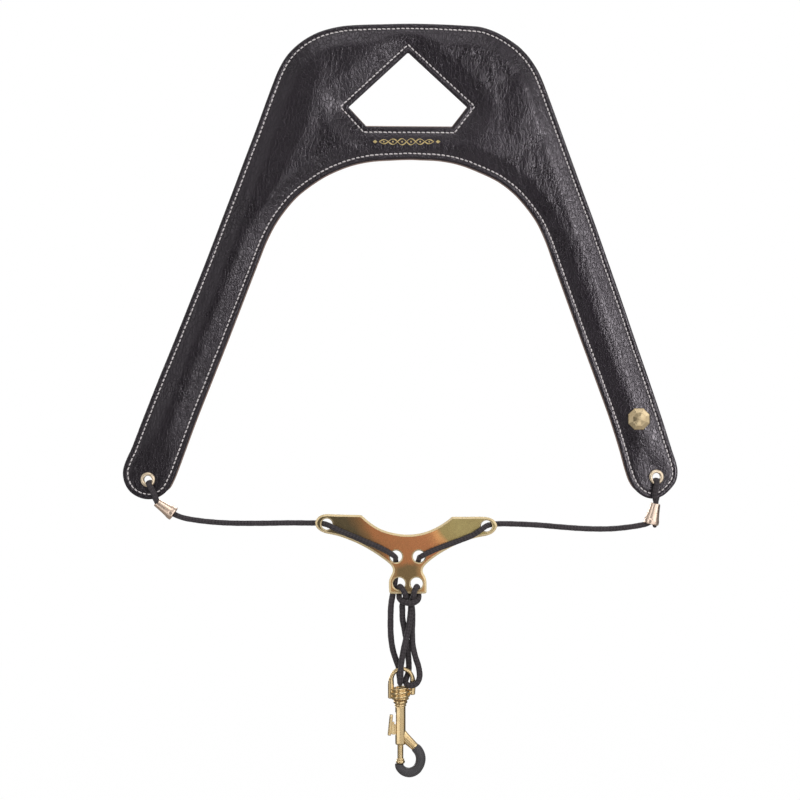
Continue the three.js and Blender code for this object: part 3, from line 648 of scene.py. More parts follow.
def lining(name):
    n = new_material(name)
    plain = n.place()
    nap = n.noise(plain, scale=2600, detail=4, rough=0.7)
    slanted = n.place(scale=(1.0, 1.0, 0.25), turn=(0, 0.35, 0))
    fibre = n.noise(slanted, scale=5200, detail=2)
    broad = n.noise(plain, scale=55, detail=3, rough=0.6)
    color = n.ramp(nap, [(0.25, (0.115, 0.088, 0.075)), (0.55, (0.175, 0.138, 0.118)),
                         (0.8, (0.235, 0.19, 0.165))])
    shade = n.remap(broad, span=(0.35, 0.65), to=(0.0, 0.35))
    color = n.mix(shade, color, (0.13, 0.10, 0.088))
    normal = n.bump(n.total(nap, (fibre, 0.6)), strength=0.5, distance=0.00025)
    return n.surface(color, 0.88, 0.0, normal, Sheen_Weight=0.4, Sheen_Roughness=0.5,
                     Specular_IOR_Level=0.2)


def thread(name):
    n = new_material(name)
    tint = (0.86, 0.80, 0.80)
    inputs = {"Scale": 1.6, "Distortion": 0.4, "Vector": n.place(space="UV")}
    wave = n.add("TexWave", inputs, wave_type="BANDS", bands_direction="DIAGONAL")
    fuzz = n.noise(n.place(), scale=1500, detail=2)
    color = n.mix(n.remap(fuzz, span=(0.3, 0.7), to=(0, 0.5)), tint, scaled(tint, 0.78))
    height = n.total(wave.outputs["Fac"], (fuzz, 0.4))
    return n.surface(color, 0.62, 0.0, n.bump(height, strength=0.5, distance=0.0001),
                     Sheen_Weight=0.2, Specular_IOR_Level=0.3)


def cord(name):
    """A braid drawn from the cord's UVs, in step with its modelled relief."""
    n = new_material(name)
    along, around, _ = n.split(n.coord.outputs["UV"])
    turn = n.math("MULTIPLY", around, 2 * math.pi * BRAID_STRANDS)
    run = n.math("MULTIPLY", along, 2 * math.pi / BRAID_PITCH)
    rising = n.math("SINE", n.math("ADD", turn, run))
    falling = n.math("SINE", n.math("SUBTRACT", turn, run))
    over = n.math("MULTIPLY", rising, falling)
    fibre = n.noise(n.place(scale=(1.0, 10, 1), space="UV"), scale=5.0, detail=2, rough=0.6)
    plait = n.remap(over, span=(-1, 1))
    broad = n.noise(n.place(), scale=90, detail=3)
    # the braid's low parts between the strands are painted darker: painted shade in the recesses
    color = n.mix(plait, (0.018, 0.015, 0.017), (0.068, 0.057, 0.064))
    worn = n.remap(broad, span=(0.35, 0.65), to=(0, 0.4))
    color = n.mix(worn, color, (0.070, 0.058, 0.064))
    rough = n.remap(fibre, span=(0.2, 0.8), to=(0.62, 0.80))
    normal = n.bump(n.total(plait, (fibre, 0.5)), strength=0.6, distance=0.00022)
    return n.surface(color, rough, 0.0, normal, Sheen_Weight=0.12, Sheen_Roughness=0.4,
                     Specular_IOR_Level=0.35)


def metal(name, tint, rough, dirt):
    """Plated metal: a little uneven in tone and polish, with faint waviness and hairlines."""
    n = new_material(name)
    plain = n.place()
    broad = n.noise(plain, scale=160, detail=3, rough=0.55)
    fine = n.noise(plain, scale=900, detail=2)
    dull = tuple(c * k for c, k in zip(tint, (0.84, 0.76, 0.64)))
    color = n.mix(n.remap(broad, span=(0.35, 0.65), to=(0.0, dirt)), tint, dull)
    polish = n.total(n.remap(broad, span=(0.3, 0.7), to=(rough * 0.8, rough * 1.3)),
                     n.remap(fine, span=(0.3, 0.7), to=(-0.015, 0.025)))
    normal = n.bump(broad, strength=0.01, distance=0.0006)
    hair = n.noise(n.place(scale=(1, 1, 20), turn=(0.15, 0.1, 0)), scale=420, detail=2)
    scratches = n.remap(hair, span=(0.5, 0.64))
    normal = n.bump(scratches, strength=0.015, distance=0.00002, under=normal)
    return n.surface(color, polish, 1.0, normal)


# painted reflections in the brass, from left to right across the plate: (position, colour)
BRASS_PAINTED_REFLECTIONS = [
    (0.0, (0.15, 0.112, 0.056)), (0.10, (0.125, 0.095, 0.046)), (0.22, (0.115, 0.085, 0.043)),
    (0.30, (0.27, 0.135, 0.052)), (0.35, (0.45, 0.175, 0.065)), (0.52, (0.48, 0.180, 0.070)),
    (0.62, (0.58, 0.245, 0.092)), (0.675, (0.74, 0.36, 0.135)), (0.715, (0.365, 0.275, 0.105)),
    (0.86, (0.40, 0.32, 0.128)), (1.0, (0.35, 0.27, 0.11))]


def brass_plate(name):
    """Polished sheet brass: painted highlights on the rims, and painted reflections in soft olive
    to copper tones across the faces.
    """
    n = new_material(name)
    x, _, z = n.split(n.coord.outputs["Object"])
    # the painted reflections slant across the plate, warped a little
    warp = n.noise(n.place(), scale=45, detail=2)
    across = n.total(n.remap(x, span=(-0.05, 0.05)),
                     n.remap(warp, span=(0.2, 0.8), to=(-0.07, 0.07)),
                     n.remap(z, span=(-0.225, -0.205), to=(-0.07, 0.07)))
    # tone holds painted reflections of the studio, not the brass's own colour; real flecks are
    # mixed in below
    tone = n.ramp(across, BRASS_PAINTED_REFLECTIONS)
    # the stem below the fork has its own painted reflection, dark in the middle
    waver = n.noise(n.place(), scale=130, detail=2)
    wavy_z = n.total(z, n.remap(waver, span=(0.3, 0.7), to=(-0.0012, 0.0012)))
    stem = n.remap(wavy_z, span=(-0.2335, -0.2305), to=(1.0, 0.0))
    centred_x = n.math("ABSOLUTE", n.math("ADD", x, 0.0006))
    side = n.remap(centred_x, span=(0.0045, 0.0085))
    tone = n.mix(stem, tone, n.mix(side, (0.20, 0.128, 0.054), (0.50, 0.265, 0.105)))
    brushed = n.noise(n.place(scale=(1, 1, 14), turn=(0, 1.2, 0)), scale=700, detail=2)
    fleck = n.noise(n.place(), scale=420, detail=3, rough=0.6)
    flecked = n.remap(fleck, span=(0.35, 0.65), to=(0.0, 0.12))
    tone = n.mix(flecked, tone, (0.30, 0.20, 0.10))
    # rims, where the normal turns away from Y, are painted paler: a painted highlight
    normal_y = n.split(n.add("NewGeometry", {}).outputs["Normal"])[1]
    flat = n.remap(n.math("ABSOLUTE", normal_y), span=(0.93, 0.985))
    color = n.mix(flat, (0.78, 0.62, 0.36), tone)
    rough = n.total(n.remap(fleck, span=(0.3, 0.7), to=(0.22, 0.30)),
                    n.remap(brushed, span=(0.4, 0.6), to=(0.0, 0.03)),
                    n.remap(flat, to=(0.12, 0.0)))
    metallic = n.remap(flat, to=(0.5, 0.74))
    return n.surface(color, rough, metallic, n.bump(brushed, strength=0.03, distance=0.00002))


def rubber(name):
    n = new_material(name)
    plain = n.place()
    fine = n.noise(plain, scale=900, detail=4, rough=0.6)
    broad = n.noise(plain, scale=120, detail=3)
    worn = n.remap(broad, span=(0.35, 0.65), to=(0, 0.6))
    color = n.mix(worn, (0.055, 0.052, 0.056), (0.078, 0.073, 0.078))
    rough = n.total(n.remap(fine, span=(0.3, 0.7), to=(0.42, 0.58)),
                    n.remap(broad, span=(0.3, 0.7), to=(-0.05, 0.05)))
    normal = n.bump(n.total((fine, 0.3), broad), strength=0.25, distance=0.00025)
    return n.surface(color, rough, 0.0, normal, Specular_IOR_Level=0.45)


def foil(name):
    n = new_material(name)
    grain = n.noise(n.place(), scale=900, detail=4, rough=0.7)
    color = n.ramp(grain, [(0.3, (0.48, 0.36, 0.14)), (0.6, (0.76, 0.60, 0.28)),
                           (0.8, (0.86, 0.72, 0.40))])
    rough = n.remap(grain, span=(0.3, 0.7), to=(0.28, 0.45))
    return n.surface(color, rough, 0.6, n.bump(grain, strength=0.35, distance=0.00008))


LEATHER = leather("pebbled_black_leather")
LEATHER_EDGE = cut_edge("painted_leather_edge", tint=(0.030, 0.028, 0.036))
LINING = lining("taupe_microfibre")
LINING_EDGE = cut_edge("taupe_cut_edge", tint=(0.36, 0.25, 0.21))
THREAD = thread("cream_thread")
CORD = cord("black_braided_cord")
PALE_GOLD = metal("pale_gold_plate", tint=(0.96, 0.80, 0.60), rough=0.28, dirt=0.25)
ROSE_GOLD = metal("rose_gold_plate", tint=(0.95, 0.75, 0.62), rough=0.30, dirt=0.25)
GOLD = metal("gold_plated_casting", tint=(0.80, 0.61, 0.34), rough=0.23, dirt=0.4)
BRASS = brass_plate("polished_brass_sheet")
RUBBER = rubber("dipped_black_rubber")
FOIL = foil("pressed_gold_foil")
BRONZE = metal("antique_bronze", tint=(0.60, 0.48, 0.30), rough=0.30, dirt=0.3)
STEEL = metal("spring_steel", tint=(0.62, 0.63, 0.66), rough=0.25, dirt=0.3)


def finish_piece(obj, body=None, replaces=(), slot=None, blend=None, squash=None):
    """blend: body, body, start, end. squash: joint, axis, anchor, keep. Points are in mm. Their
    values are not used: a blend only bakes in the transform, a squash only gives the piece its own
    mesh.
    """
    if blend:
        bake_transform(obj)
    else:
        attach(obj, body)
    if squash:
        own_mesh(obj)
    if replaces:
        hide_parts(*replaces)


# =====================================================================
# leather yoke
# =====================================================================
# outer edge (x, z), clockwise from the top middle
YOKE_EDGE = [
    [1.1, 65.9], [12.1, 65.7], [23.1, 65.3], [33.5, 64.7], [39.9, 64.1], [45.4, 62.5],
    [50.6, 60.2], [56.1, 56.9], [61.6, 52.8], [66.8, 47.2], [71.4, 40.2], [74.4, 33.6],
    [78.1, 23.7], [84.1, 7.2], [90.1, -9.4], [96.1, -25.9], [102.2, -42.4], [109.9, -64.4],
    [117.6, -86.4], [125.1, -108.4], [132.7, -130.4], [140.1, -152.4], [145.3, -168.9],
    [147.9, -177.0], [148.4, -181.5], [147.4, -186.3], [144.0, -190.9], [140.0, -194.2],
    [136.0, -195.6], [131.0, -194.9], [126.0, -191.6], [122.6, -186.6], [120.2, -180.2],
    [117.1, -168.9], [111.9, -152.4], [104.0, -130.4], [95.9, -108.4], [88.0, -86.4],
    [80.1, -64.4], [76.1, -53.4], [70.9, -42.6], [62.6, -31.5], [57.0, -25.9], [49.5, -20.4],
    [39.6, -15.6], [28.6, -11.4], [17.6, -9.2], [6.6, -8.6], [1.1, -8.4], [-9.9, -8.8],
    [-20.9, -9.6], [-31.9, -12.0], [-42.9, -16.4], [-48.4, -19.4], [-57.7, -25.9],
    [-63.7, -31.4], [-72.2, -42.4], [-78.1, -53.4], [-82.5, -64.4], [-91.0, -86.4],
    [-99.5, -108.4], [-108.2, -130.4], [-116.9, -152.4], [-123.0, -168.9], [-127.1, -180.0],
    [-129.4, -185.6], [-132.4, -190.9], [-137.0, -194.6], [-142.4, -196.0], [-148.2, -194.9],
    [-153.4, -191.4], [-156.5, -185.6], [-156.9, -180.0], [-154.9, -173.7], [-152.6, -168.9],
    [-146.2, -152.4], [-137.5, -130.4], [-128.5, -108.4], [-119.7, -86.4], [-111.0, -64.4],
    [-102.6, -42.4], [-96.3, -25.9], [-90.1, -9.4], [-83.8, 7.2], [-77.8, 23.7], [-74.1, 33.6],
    [-71.3, 40.4], [-67.7, 46.8], [-64.1, 51.2], [-59.1, 55.6], [-53.6, 59.1], [-48.1, 61.6],
    [-41.5, 63.5], [-34.6, 64.7], [-25.0, 65.3], [-13.5, 65.6]]
WINDOW = np.array([[0.0, 50.1], [32.7, 19.8], [24.2, 8.8], [-23.1, 9.1], [-33.0, 19.8]])
EYELETS = {"left": (-143.2, -185.2), "right": (136.7, -183.7)}
EYELET_HOLE_RADIUS = 2.7
STUD = (126.8, -151.8)
WELT_HEIGHT, LEATHER_BACK_Y, LINING_FRONT_Y = 2.3, -1.05, -1.0
EDGE_STEP = 0.7
STITCH_DEPTH, WINDOW_STITCH_DEPTH = 2.8, 3.0    # seam lines, in from the edges

edge_loop = spline(YOKE_EDGE, step=EDGE_STEP, closed=True)
window_loop = rounded_polygon(WINDOW, 0.9, EDGE_STEP)
window_fine = resample(np.vstack([window_loop, window_loop[:1]]), 0.25)
eyelet_loops = [circle(x, z, EYELET_HOLE_RADIUS, 40) for x, z in EYELETS.values()]
edge_normals = material_normals(edge_loop)
window_normals = material_normals(window_loop, hole=True)

# low waves of a stuffed panel: (wave number, heading, phase)
WAVES = [(rng.uniform(0.02, 0.10), rng.uniform(0, 2 * np.pi), rng.uniform(0, 2 * np.pi))
         for _ in range(9)]
NOISE_TABLE = rng.uniform(-1, 1, (64, 64))
# soft folds: start, end, width, height
FOLDS = [
    ((-46.5, 45), (-59.7, 2.5), 6.0, 1.0), ((-58, 6), (-72, -23), 6.0, 0.9),
    ((-70, -19), (-80, -48), 5.5, 0.8), ((66, 38), (62, 2), 8.0, 0.8),
    ((54, 40), (50, 8), 7.0, -0.5)]


def low_waves(x, z):
    height = np.zeros_like(x)
    for number, heading, phase in WAVES:
        height += np.sin(number * (x * np.cos(heading) + z * np.sin(heading)) + phase)
    return height / len(WAVES)


def fold(x, z, start, end, width, height):
    """A soft ridge from start to end."""
    run_x, run_z = end[0] - start[0], end[1] - start[1]
    length = math.hypot(run_x, run_z)
    along = ((x - start[0]) * run_x + (z - start[1]) * run_z) / length**2
    aside = ((x - start[0]) * run_z - (z - start[1]) * run_x) / length
    fade = ease(-0.15, 0.25, along) * (1 - ease(0.75, 1.15, along))
    return height * np.exp(-((aside / width) ** 2)) * fade


def value_noise(x, z, cell_x, cell_z, layer):
    """Smooth value noise with cells cell_x by cell_z mm."""
    grid_x, grid_z = x / cell_x + 17.3 * layer, z / cell_z + 9.1 * layer
    column, row = np.floor(grid_x).astype(int), np.floor(grid_z).astype(int)
    part_x, part_z = ease(0, 1, grid_x - column), ease(0, 1, grid_z - row)

    def blend_row(j):
        left = NOISE_TABLE[column % 64, (row + j) % 64]
        right = NOISE_TABLE[(column + 1) % 64, (row + j) % 64]
        return left * (1 - part_x) + right * part_x

    return blend_row(0) * (1 - part_z) + blend_row(1) * part_z


def wrinkles(x, z):
    """Fine creases of soft leather, long in the strap's direction."""
    lean = z * 0.06 * np.sign(x) * ease(20, 60, np.abs(x))
    warped = x + 1.1 * value_noise(x, z, 7, 9, 1) + lean
    coarse = value_noise(warped, z, 2.6, 7.5, 2)
    fine = value_noise(warped, z + 0.8 * coarse, 3.4, 9.0, 3)
    patch = 0.45 + 0.55 * ease(-0.35, 0.45, value_noise(x, z, 17, 30, 4))
    return (0.6 * coarse * coarse + 0.4 * fine * fine) * 1.6 * patch


def eyelet_distance(points):
    return np.minimum(*(np.hypot(*(points - centre).T) for centre in EYELETS.values()))


def edge_drop(distance, radius, depth):
    """How far a rounded edge falls below the face."""
    inward = (radius - np.clip(distance, 0, radius)) / radius
    return depth * (1 - np.sqrt(np.clip(1 - inward**2, 0, 1)))


def welt(distance, height, width):
    return height * np.sin(np.pi * np.clip((distance - 0.2) / width, 0, 1))


def grooves(d_edge, d_window, width, edge_depth, window_depth):
    """The dents pulled by the two seams."""
    return (edge_depth * np.exp(-(((d_edge - STITCH_DEPTH) / width) ** 2))
            + window_depth * np.exp(-(((d_window - WINDOW_STITCH_DEPTH) / width) ** 2)))


def leather_front(points, d_edge, _=None):
    """y of the leather's front; it measures its own distance to the window."""
    x, z = points.T
    d_window, d_eye = nearest(points, window_fine), eyelet_distance(points)

    def clear_of(edge, window, eye=None):
        """Fades in over the given (from, to) distances from the edges and eyelets."""
        amount = ease(*edge, d_edge) * ease(*window, d_window)
        return amount if eye is None else amount * ease(*eye, d_eye)

    height = WELT_HEIGHT - edge_drop(np.minimum(d_edge, d_window), radius=1.0, depth=0.75)
    height += welt(d_edge, height=0.16, width=2.6) + welt(d_window, height=0.14, width=2.8)
    height -= grooves(d_edge, d_window, width=0.62, edge_depth=0.34, window_depth=0.30)
    height += 2.25 * clear_of(edge=(3.1, 12.5), window=(3.6, 16.0), eye=(8.0, 30.0))
    height += 0.35 * clear_of(edge=(2.9, 5.2), window=(3.1, 6.0), eye=(5.0, 12.0))
    relief = 0.45 * low_waves(x, z) + sum(fold(x, z, *each) for each in FOLDS)
    height += relief * clear_of(edge=(4.0, 10.0), window=(6.0, 14.0))
    height -= 0.16 * (1 - ease(3.8, 7.5, d_eye))
    fine = clear_of(edge=(3.3, 6.0), window=(3.6, 6.5), eye=(4.5, 9.0))
    return -(height + 0.26 * wrinkles(x, z) * fine)


def lining_back(points, d_edge, d_hole):
    """y of the lining's back."""
    x, z = points.T
    drop = edge_drop(np.minimum(d_edge, d_hole), radius=0.7, depth=0.2)
    dents = grooves(d_edge, d_hole, width=0.6, edge_depth=0.16, window_depth=0.16)
    pad = ease(3.3, 6.5, d_edge) * ease(3.5, 6.0, d_hole) * ease(8, 17, eyelet_distance(points))
    return -0.42 - drop - dents + 0.40 * pad + 0.05 * low_waves(z * 1.3, x) * pad


# distances in from the edges at which the panels have rings of vertices
EDGE_RINGS = [0, 0.12, 0.35, 0.7, 1.1, 1.7, 2.2, 2.5, 2.8, 3.1, 3.5, 4.2, 5.2, 6.3]
WINDOW_RINGS = [0, 0.12, 0.35, 0.7, 1.2, 1.8, 2.4, 2.7, 3.0, 3.3, 3.7, 4.3, 5.2]
EYELET_RINGS = [0, 0.4, 1.0]
LINING_EDGE_RINGS = [0, 0.15, 0.4, 0.75, 1.6, 2.2, 2.5, 2.8, 3.1, 3.6, 4.6, 6.0]
LINING_WINDOW_RINGS = [0, 0.15, 0.4, 0.75, 1.6, 2.3, 2.7, 3.0, 3.3, 4.0, 5.0]

leather_panel = sheet(
    "front_leather_panel", edge_loop, [window_loop, *eyelet_loops],
    [EDGE_RINGS, WINDOW_RINGS, EYELET_RINGS, EYELET_RINGS], grid=0.85,
    face=leather_front, reverse=LEATHER_BACK_Y, materials=[LEATHER, LEATHER_EDGE], wall_bulge=0.1)
finish_piece(leather_panel, "yoke", ["front_leather", "foam_padding"], "black_leather")


def lining_panel():
    """The lining shows past the leather along edges that face the middle of the yoke."""
    to_middle = unit(np.array([0.0, -95.0]) - edge_loop)
    facing = ease(0.1, 0.5, (-edge_normals * to_middle).sum(1))
    outer = edge_loop - edge_normals * (0.75 * facing - 0.1)[:, None]
    window_grow = 0.55 * np.clip(-window_normals[:, 1], 0, 1)
    window = window_loop - window_normals * window_grow[:, None]
    return sheet(
        "lining_panel", outer, [window, *eyelet_loops],
        [LINING_EDGE_RINGS, LINING_WINDOW_RINGS, EYELET_RINGS, EYELET_RINGS],
        grid=2.2, face=lining_back, reverse=LINING_FRONT_Y,
        materials=[LINING, LINING_EDGE], wall_bulge=0.05)


finish_piece(lining_panel(), "yoke", ["back_lining"], "taupe_lining")

# =====================================================================
# stitching
# =====================================================================
STITCH_PITCH, STITCH_LENGTH, STITCH_SIDES = 2.62, 2.0, 8
# stations along one stitch: place from -1 to 1, lift off the surface, thickness
STITCH_PLACE = np.array([-1.0, -0.93, -0.75, -0.45, 0.0, 0.45, 0.75, 0.93, 1.0])
STITCH_LIFT = np.array([-0.42, -0.16, 0.06, 0.17, 0.21, 0.17, 0.06, -0.16, -0.42])
STITCH_THICK = np.array([0.55, 0.8, 0.95, 1.0, 1.0, 1.0, 0.95, 0.8, 0.55])


def stitches(name, line, surface, side, width, seed):
    """Separate stitches along a closed line on a surface; side -1 is the front, 1 the back."""
    draw = np.random.default_rng(seed).uniform
    closed = np.vstack([line, line[:1]])
    run = run_length(closed)
    total = run[-1]
    count = int(round(total / STITCH_PITCH))
    stations = len(STITCH_PLACE)
    around = 2 * np.pi * np.arange(STITCH_SIDES) / STITCH_SIDES
    twist = 1 + 0.10 * np.cos(2 * around + STITCH_PLACE[:, None] * 5.0)
    verts, faces, uvs = [], [], []
    for k in range(count):
        centre = (k + 0.5) * total / count + draw(-0.06, 0.06)
        place = STITCH_PLACE * (STITCH_LENGTH * draw(0.92, 1.10) / 2)
        where = (centre + place) % total
        base = np.stack([np.interp(where, run, column) for column in closed.T], 1)
        along = unit(base[-1] - base[0])
        aside = np.array([along[1], -along[0]])
        slant = draw(0.03, 0.11)
        base = base + aside * (place * slant)[:, None] + aside * draw(-0.06, 0.06)
        y = surface(base, nearest(base, edge_loop), nearest(base, window_loop))
        thick = width * draw(0.94, 1.06) * STITCH_THICK[:, None] * twist
        spread = np.cos(around) * thick
        rings = np.stack([
            base[:, :1] + aside[0] * spread,
            (y + side * (STITCH_LIFT + 0.14))[:, None] + np.sin(around) * 0.78 * thick,
            base[:, 1:] + aside[1] * spread], -1)
        start = k * stations * STITCH_SIDES
        last = start + (stations - 1) * STITCH_SIDES
        faces += ring_quads(stations, STITCH_SIDES, start)
        faces += [tuple(range(start, start + STITCH_SIDES))[::-1],
                  tuple(range(last, last + STITCH_SIDES))]
        verts.append(rings.reshape(-1, 3))
        uvs.append(np.stack([np.repeat(STITCH_PLACE * 2.0 + k, STITCH_SIDES),
                             np.tile(np.arange(STITCH_SIDES) / STITCH_SIDES, stations)], 1))
    return add_mesh(name, np.vstack(verts), faces, THREAD, uvs=np.vstack(uvs))


edge_seam = resample(edge_loop + edge_normals * STITCH_DEPTH, 0.5, closed=True)
window_seam = rounded_polygon(offset_polygon(WINDOW, WINDOW_STITCH_DEPTH), 0.7, 0.5)
for name, line, surface, side, width, seed, replaced in (
    ("edge_stitches_front", edge_seam, leather_front, -1, 0.36, 3, "edge_needle_thread"),
    ("window_stitches_front", window_seam, leather_front, -1, 0.35, 4, "window_needle_thread"),
    ("edge_stitches_back", edge_seam, lining_back, 1, 0.30, 5, "edge_bobbin_thread"),
    ("window_stitches_back", window_seam, lining_back, 1, 0.30, 6, "window_bobbin_thread"),
):
    finish_piece(stitches(name, line, surface, side, width, seed), "yoke", [replaced],
                 "cream_thread")

# =====================================================================
# eyelets, washers, stud
# =====================================================================
# profiles of (radius, y)
EYELET_PROFILE = [
    (2.2, -2.75), (2.45, -3.25), (2.95, -3.42), (3.6, -3.3), (4.05, -2.9), (4.12, -2.45),
    (3.95, -2.2), (2.55, -2.2), (2.55, 0.13), (3.3, 0.18), (3.35, 0.43), (3.0, 0.6),
    (2.45, 0.58), (2.2, 0.28)]
WASHER_PROFILE = [(2.65, -0.37), (4.1, -0.37), (4.05, -0.14), (3.6, 0.04), (2.65, 0.08)]
CLINCH_PROFILE = [(1.2, -2.85), (3.0, -2.85), (3.0, -2.5), (1.2, -2.5)]
# rings of the faceted stud: radius, height above the leather
STUD_RINGS = [(6.35, -0.55), (6.45, 0.15), (6.1, 0.45), (3.9, 1.45), (3.7, 1.42), (1.4, 2.15)]
STUD_PEAK = 2.35

for side, (x, z) in EYELETS.items():
    obj = lathe(f"{side}_eyelet_ring", rounded(EYELET_PROFILE, 0.18, 4), (x, 0, z), (0, 1, 0),
                PALE_GOLD, segments=56, sharp_deg=60)
    finish_piece(obj, "yoke", [f"{side}_eyelet"], "pale_gold")
    obj = lathe(f"{side}_eyelet_back_washer", rounded(WASHER_PROFILE, 0.1, 3), (x, 0, z),
                (0, 1, 0), PALE_GOLD, segments=48)
    finish_piece(obj, "yoke", [f"{side}_eyelet_washer"], "pale_gold")


def stud_top():
    """An eight-sided stud standing on the leather."""
    seat = float(-leather_front(np.array([STUD]), np.array([13.0]))[0])
    angles = [2 * math.pi * (j + 0.5) / 8 for j in range(8)]
    verts = [(STUD[0] + radius * math.cos(a), -(seat + height), STUD[1] + radius * math.sin(a))
             for radius, height in STUD_RINGS for a in angles]
    verts += [(STUD[0], -(seat + height), STUD[1]) for height in (STUD_PEAK, STUD_RINGS[0][1])]
    faces = ring_quads(len(STUD_RINGS), 8)
    peak, foot = len(verts) - 2, len(verts) - 1
    last = peak - 8
    for j in range(8):
        k = (j + 1) % 8
        faces += [(last + j, last + k, peak), (j, foot, k)]
    obj = add_mesh("faceted_stud", verts, faces, BRONZE, smooth=False)
    bevel(obj, width=0.16, segments=3, angle_deg=12)
    for face in obj.data.polygons:
        face.use_smooth = False
    return obj


finish_piece(stud_top(), "yoke", ["ornament_stud"], "pale_gold")
obj = lathe("stud_clinch_washer", rounded(CLINCH_PROFILE, 0.08, 3), (STUD[0], 0, STUD[1]),
            (0, 1, 0), STEEL, segments=32)
finish_piece(obj, "yoke", ["stud_washer"], "steel")

# =====================================================================
# pressed foil ornament under the window: two interlaced waves with lozenges between them
# =====================================================================
FOIL_X, FOIL_Z = -0.8, 0.7              # middle of the ornament
WAVE_REACH, WAVE_PERIOD, WAVE_HEIGHT = 15.0, 10.0, 1.75
WAVE_THIN, WAVE_THICK = 0.26, 0.62      # line widths
FOIL_PROUD, FOIL_SUNK = 0.06, 0.12      # above and below the leather


def wave_quads(phase):
    start = FOIL_X - WAVE_REACH
    x = np.linspace(start, FOIL_X + WAVE_REACH, 46)
    part = (x - start) / (FOIL_X + WAVE_REACH - start)
    swell = WAVE_HEIGHT * (0.55 + 0.45 * np.sin(np.pi * part))
    z = FOIL_Z + swell * np.sin(2 * np.pi * (x - start) / WAVE_PERIOD + phase)
    along = unit(np.stack([np.gradient(x), np.gradient(z)], 1))
    aside = np.stack([-along[:, 1], along[:, 0]], 1)
    beat = 0.5 + 0.5 * np.sin(4 * np.pi * (x - start) / WAVE_PERIOD + phase)
    half = aside * (WAVE_THIN + (WAVE_THICK - WAVE_THIN) * beat)[:, None] / 2
    upper, lower = np.stack([x, z], 1) + half, np.stack([x, z], 1) - half
    return [[upper[i], upper[i + 1], lower[i + 1], lower[i]] for i in range(len(x) - 1)]


def lozenge(x, half_width, half_height):
    return [(x - half_width, FOIL_Z), (x, FOIL_Z - half_height), (x + half_width, FOIL_Z),
            (x, FOIL_Z + half_height)]


def foil_ornament():
    shapes = wave_quads(0.0) + wave_quads(math.pi)
    shapes += [lozenge(FOIL_X + WAVE_PERIOD / 2 * (k + 0.5), 0.5, 0.62) for k in range(-3, 3)]
    shapes += [lozenge(FOIL_X + end * 17.3, 1.25, 1.0) for end in (-1, 1)]
    verts, faces = [], []
    for shape in shapes:
        points = np.array(shape, float)
        y = leather_front(points, nearest(points, edge_loop))
        start, sides = 2 * len(verts) * 2, len(points)
        verts.append(np.vstack([at_depth(points, y - FOIL_PROUD),
                                at_depth(points, y + FOIL_SUNK)]))
        start = (len(verts) - 1) * 2 * sides
        faces += [tuple(range(start, start + sides)),
                  tuple(range(start + sides, start + 2 * sides))[::-1]]
        faces += ring_quads(2, sides, start)
    return add_mesh("foil_rule", np.vstack(verts), faces, FOIL, smooth=False)


finish_piece(foil_ornament(), "yoke", (), "pale_gold")

# =====================================================================
# the cord
# =====================================================================
CORD_RADIUS, CORD_STEP, CORD_SIDES, CORD_RELIEF = 1.45, 0.38, 24, 0.018
# where the cord leaves each yoke loop, and its direction there
CORD_ENDS = {
    "left": (np.array([-138.2, -1.2, -197.8]), np.array([0.822, 0, -0.569])),
    "right": (np.array([136.6, -1.2, -197.8]), np.array([-0.232, 0, -0.973]))}
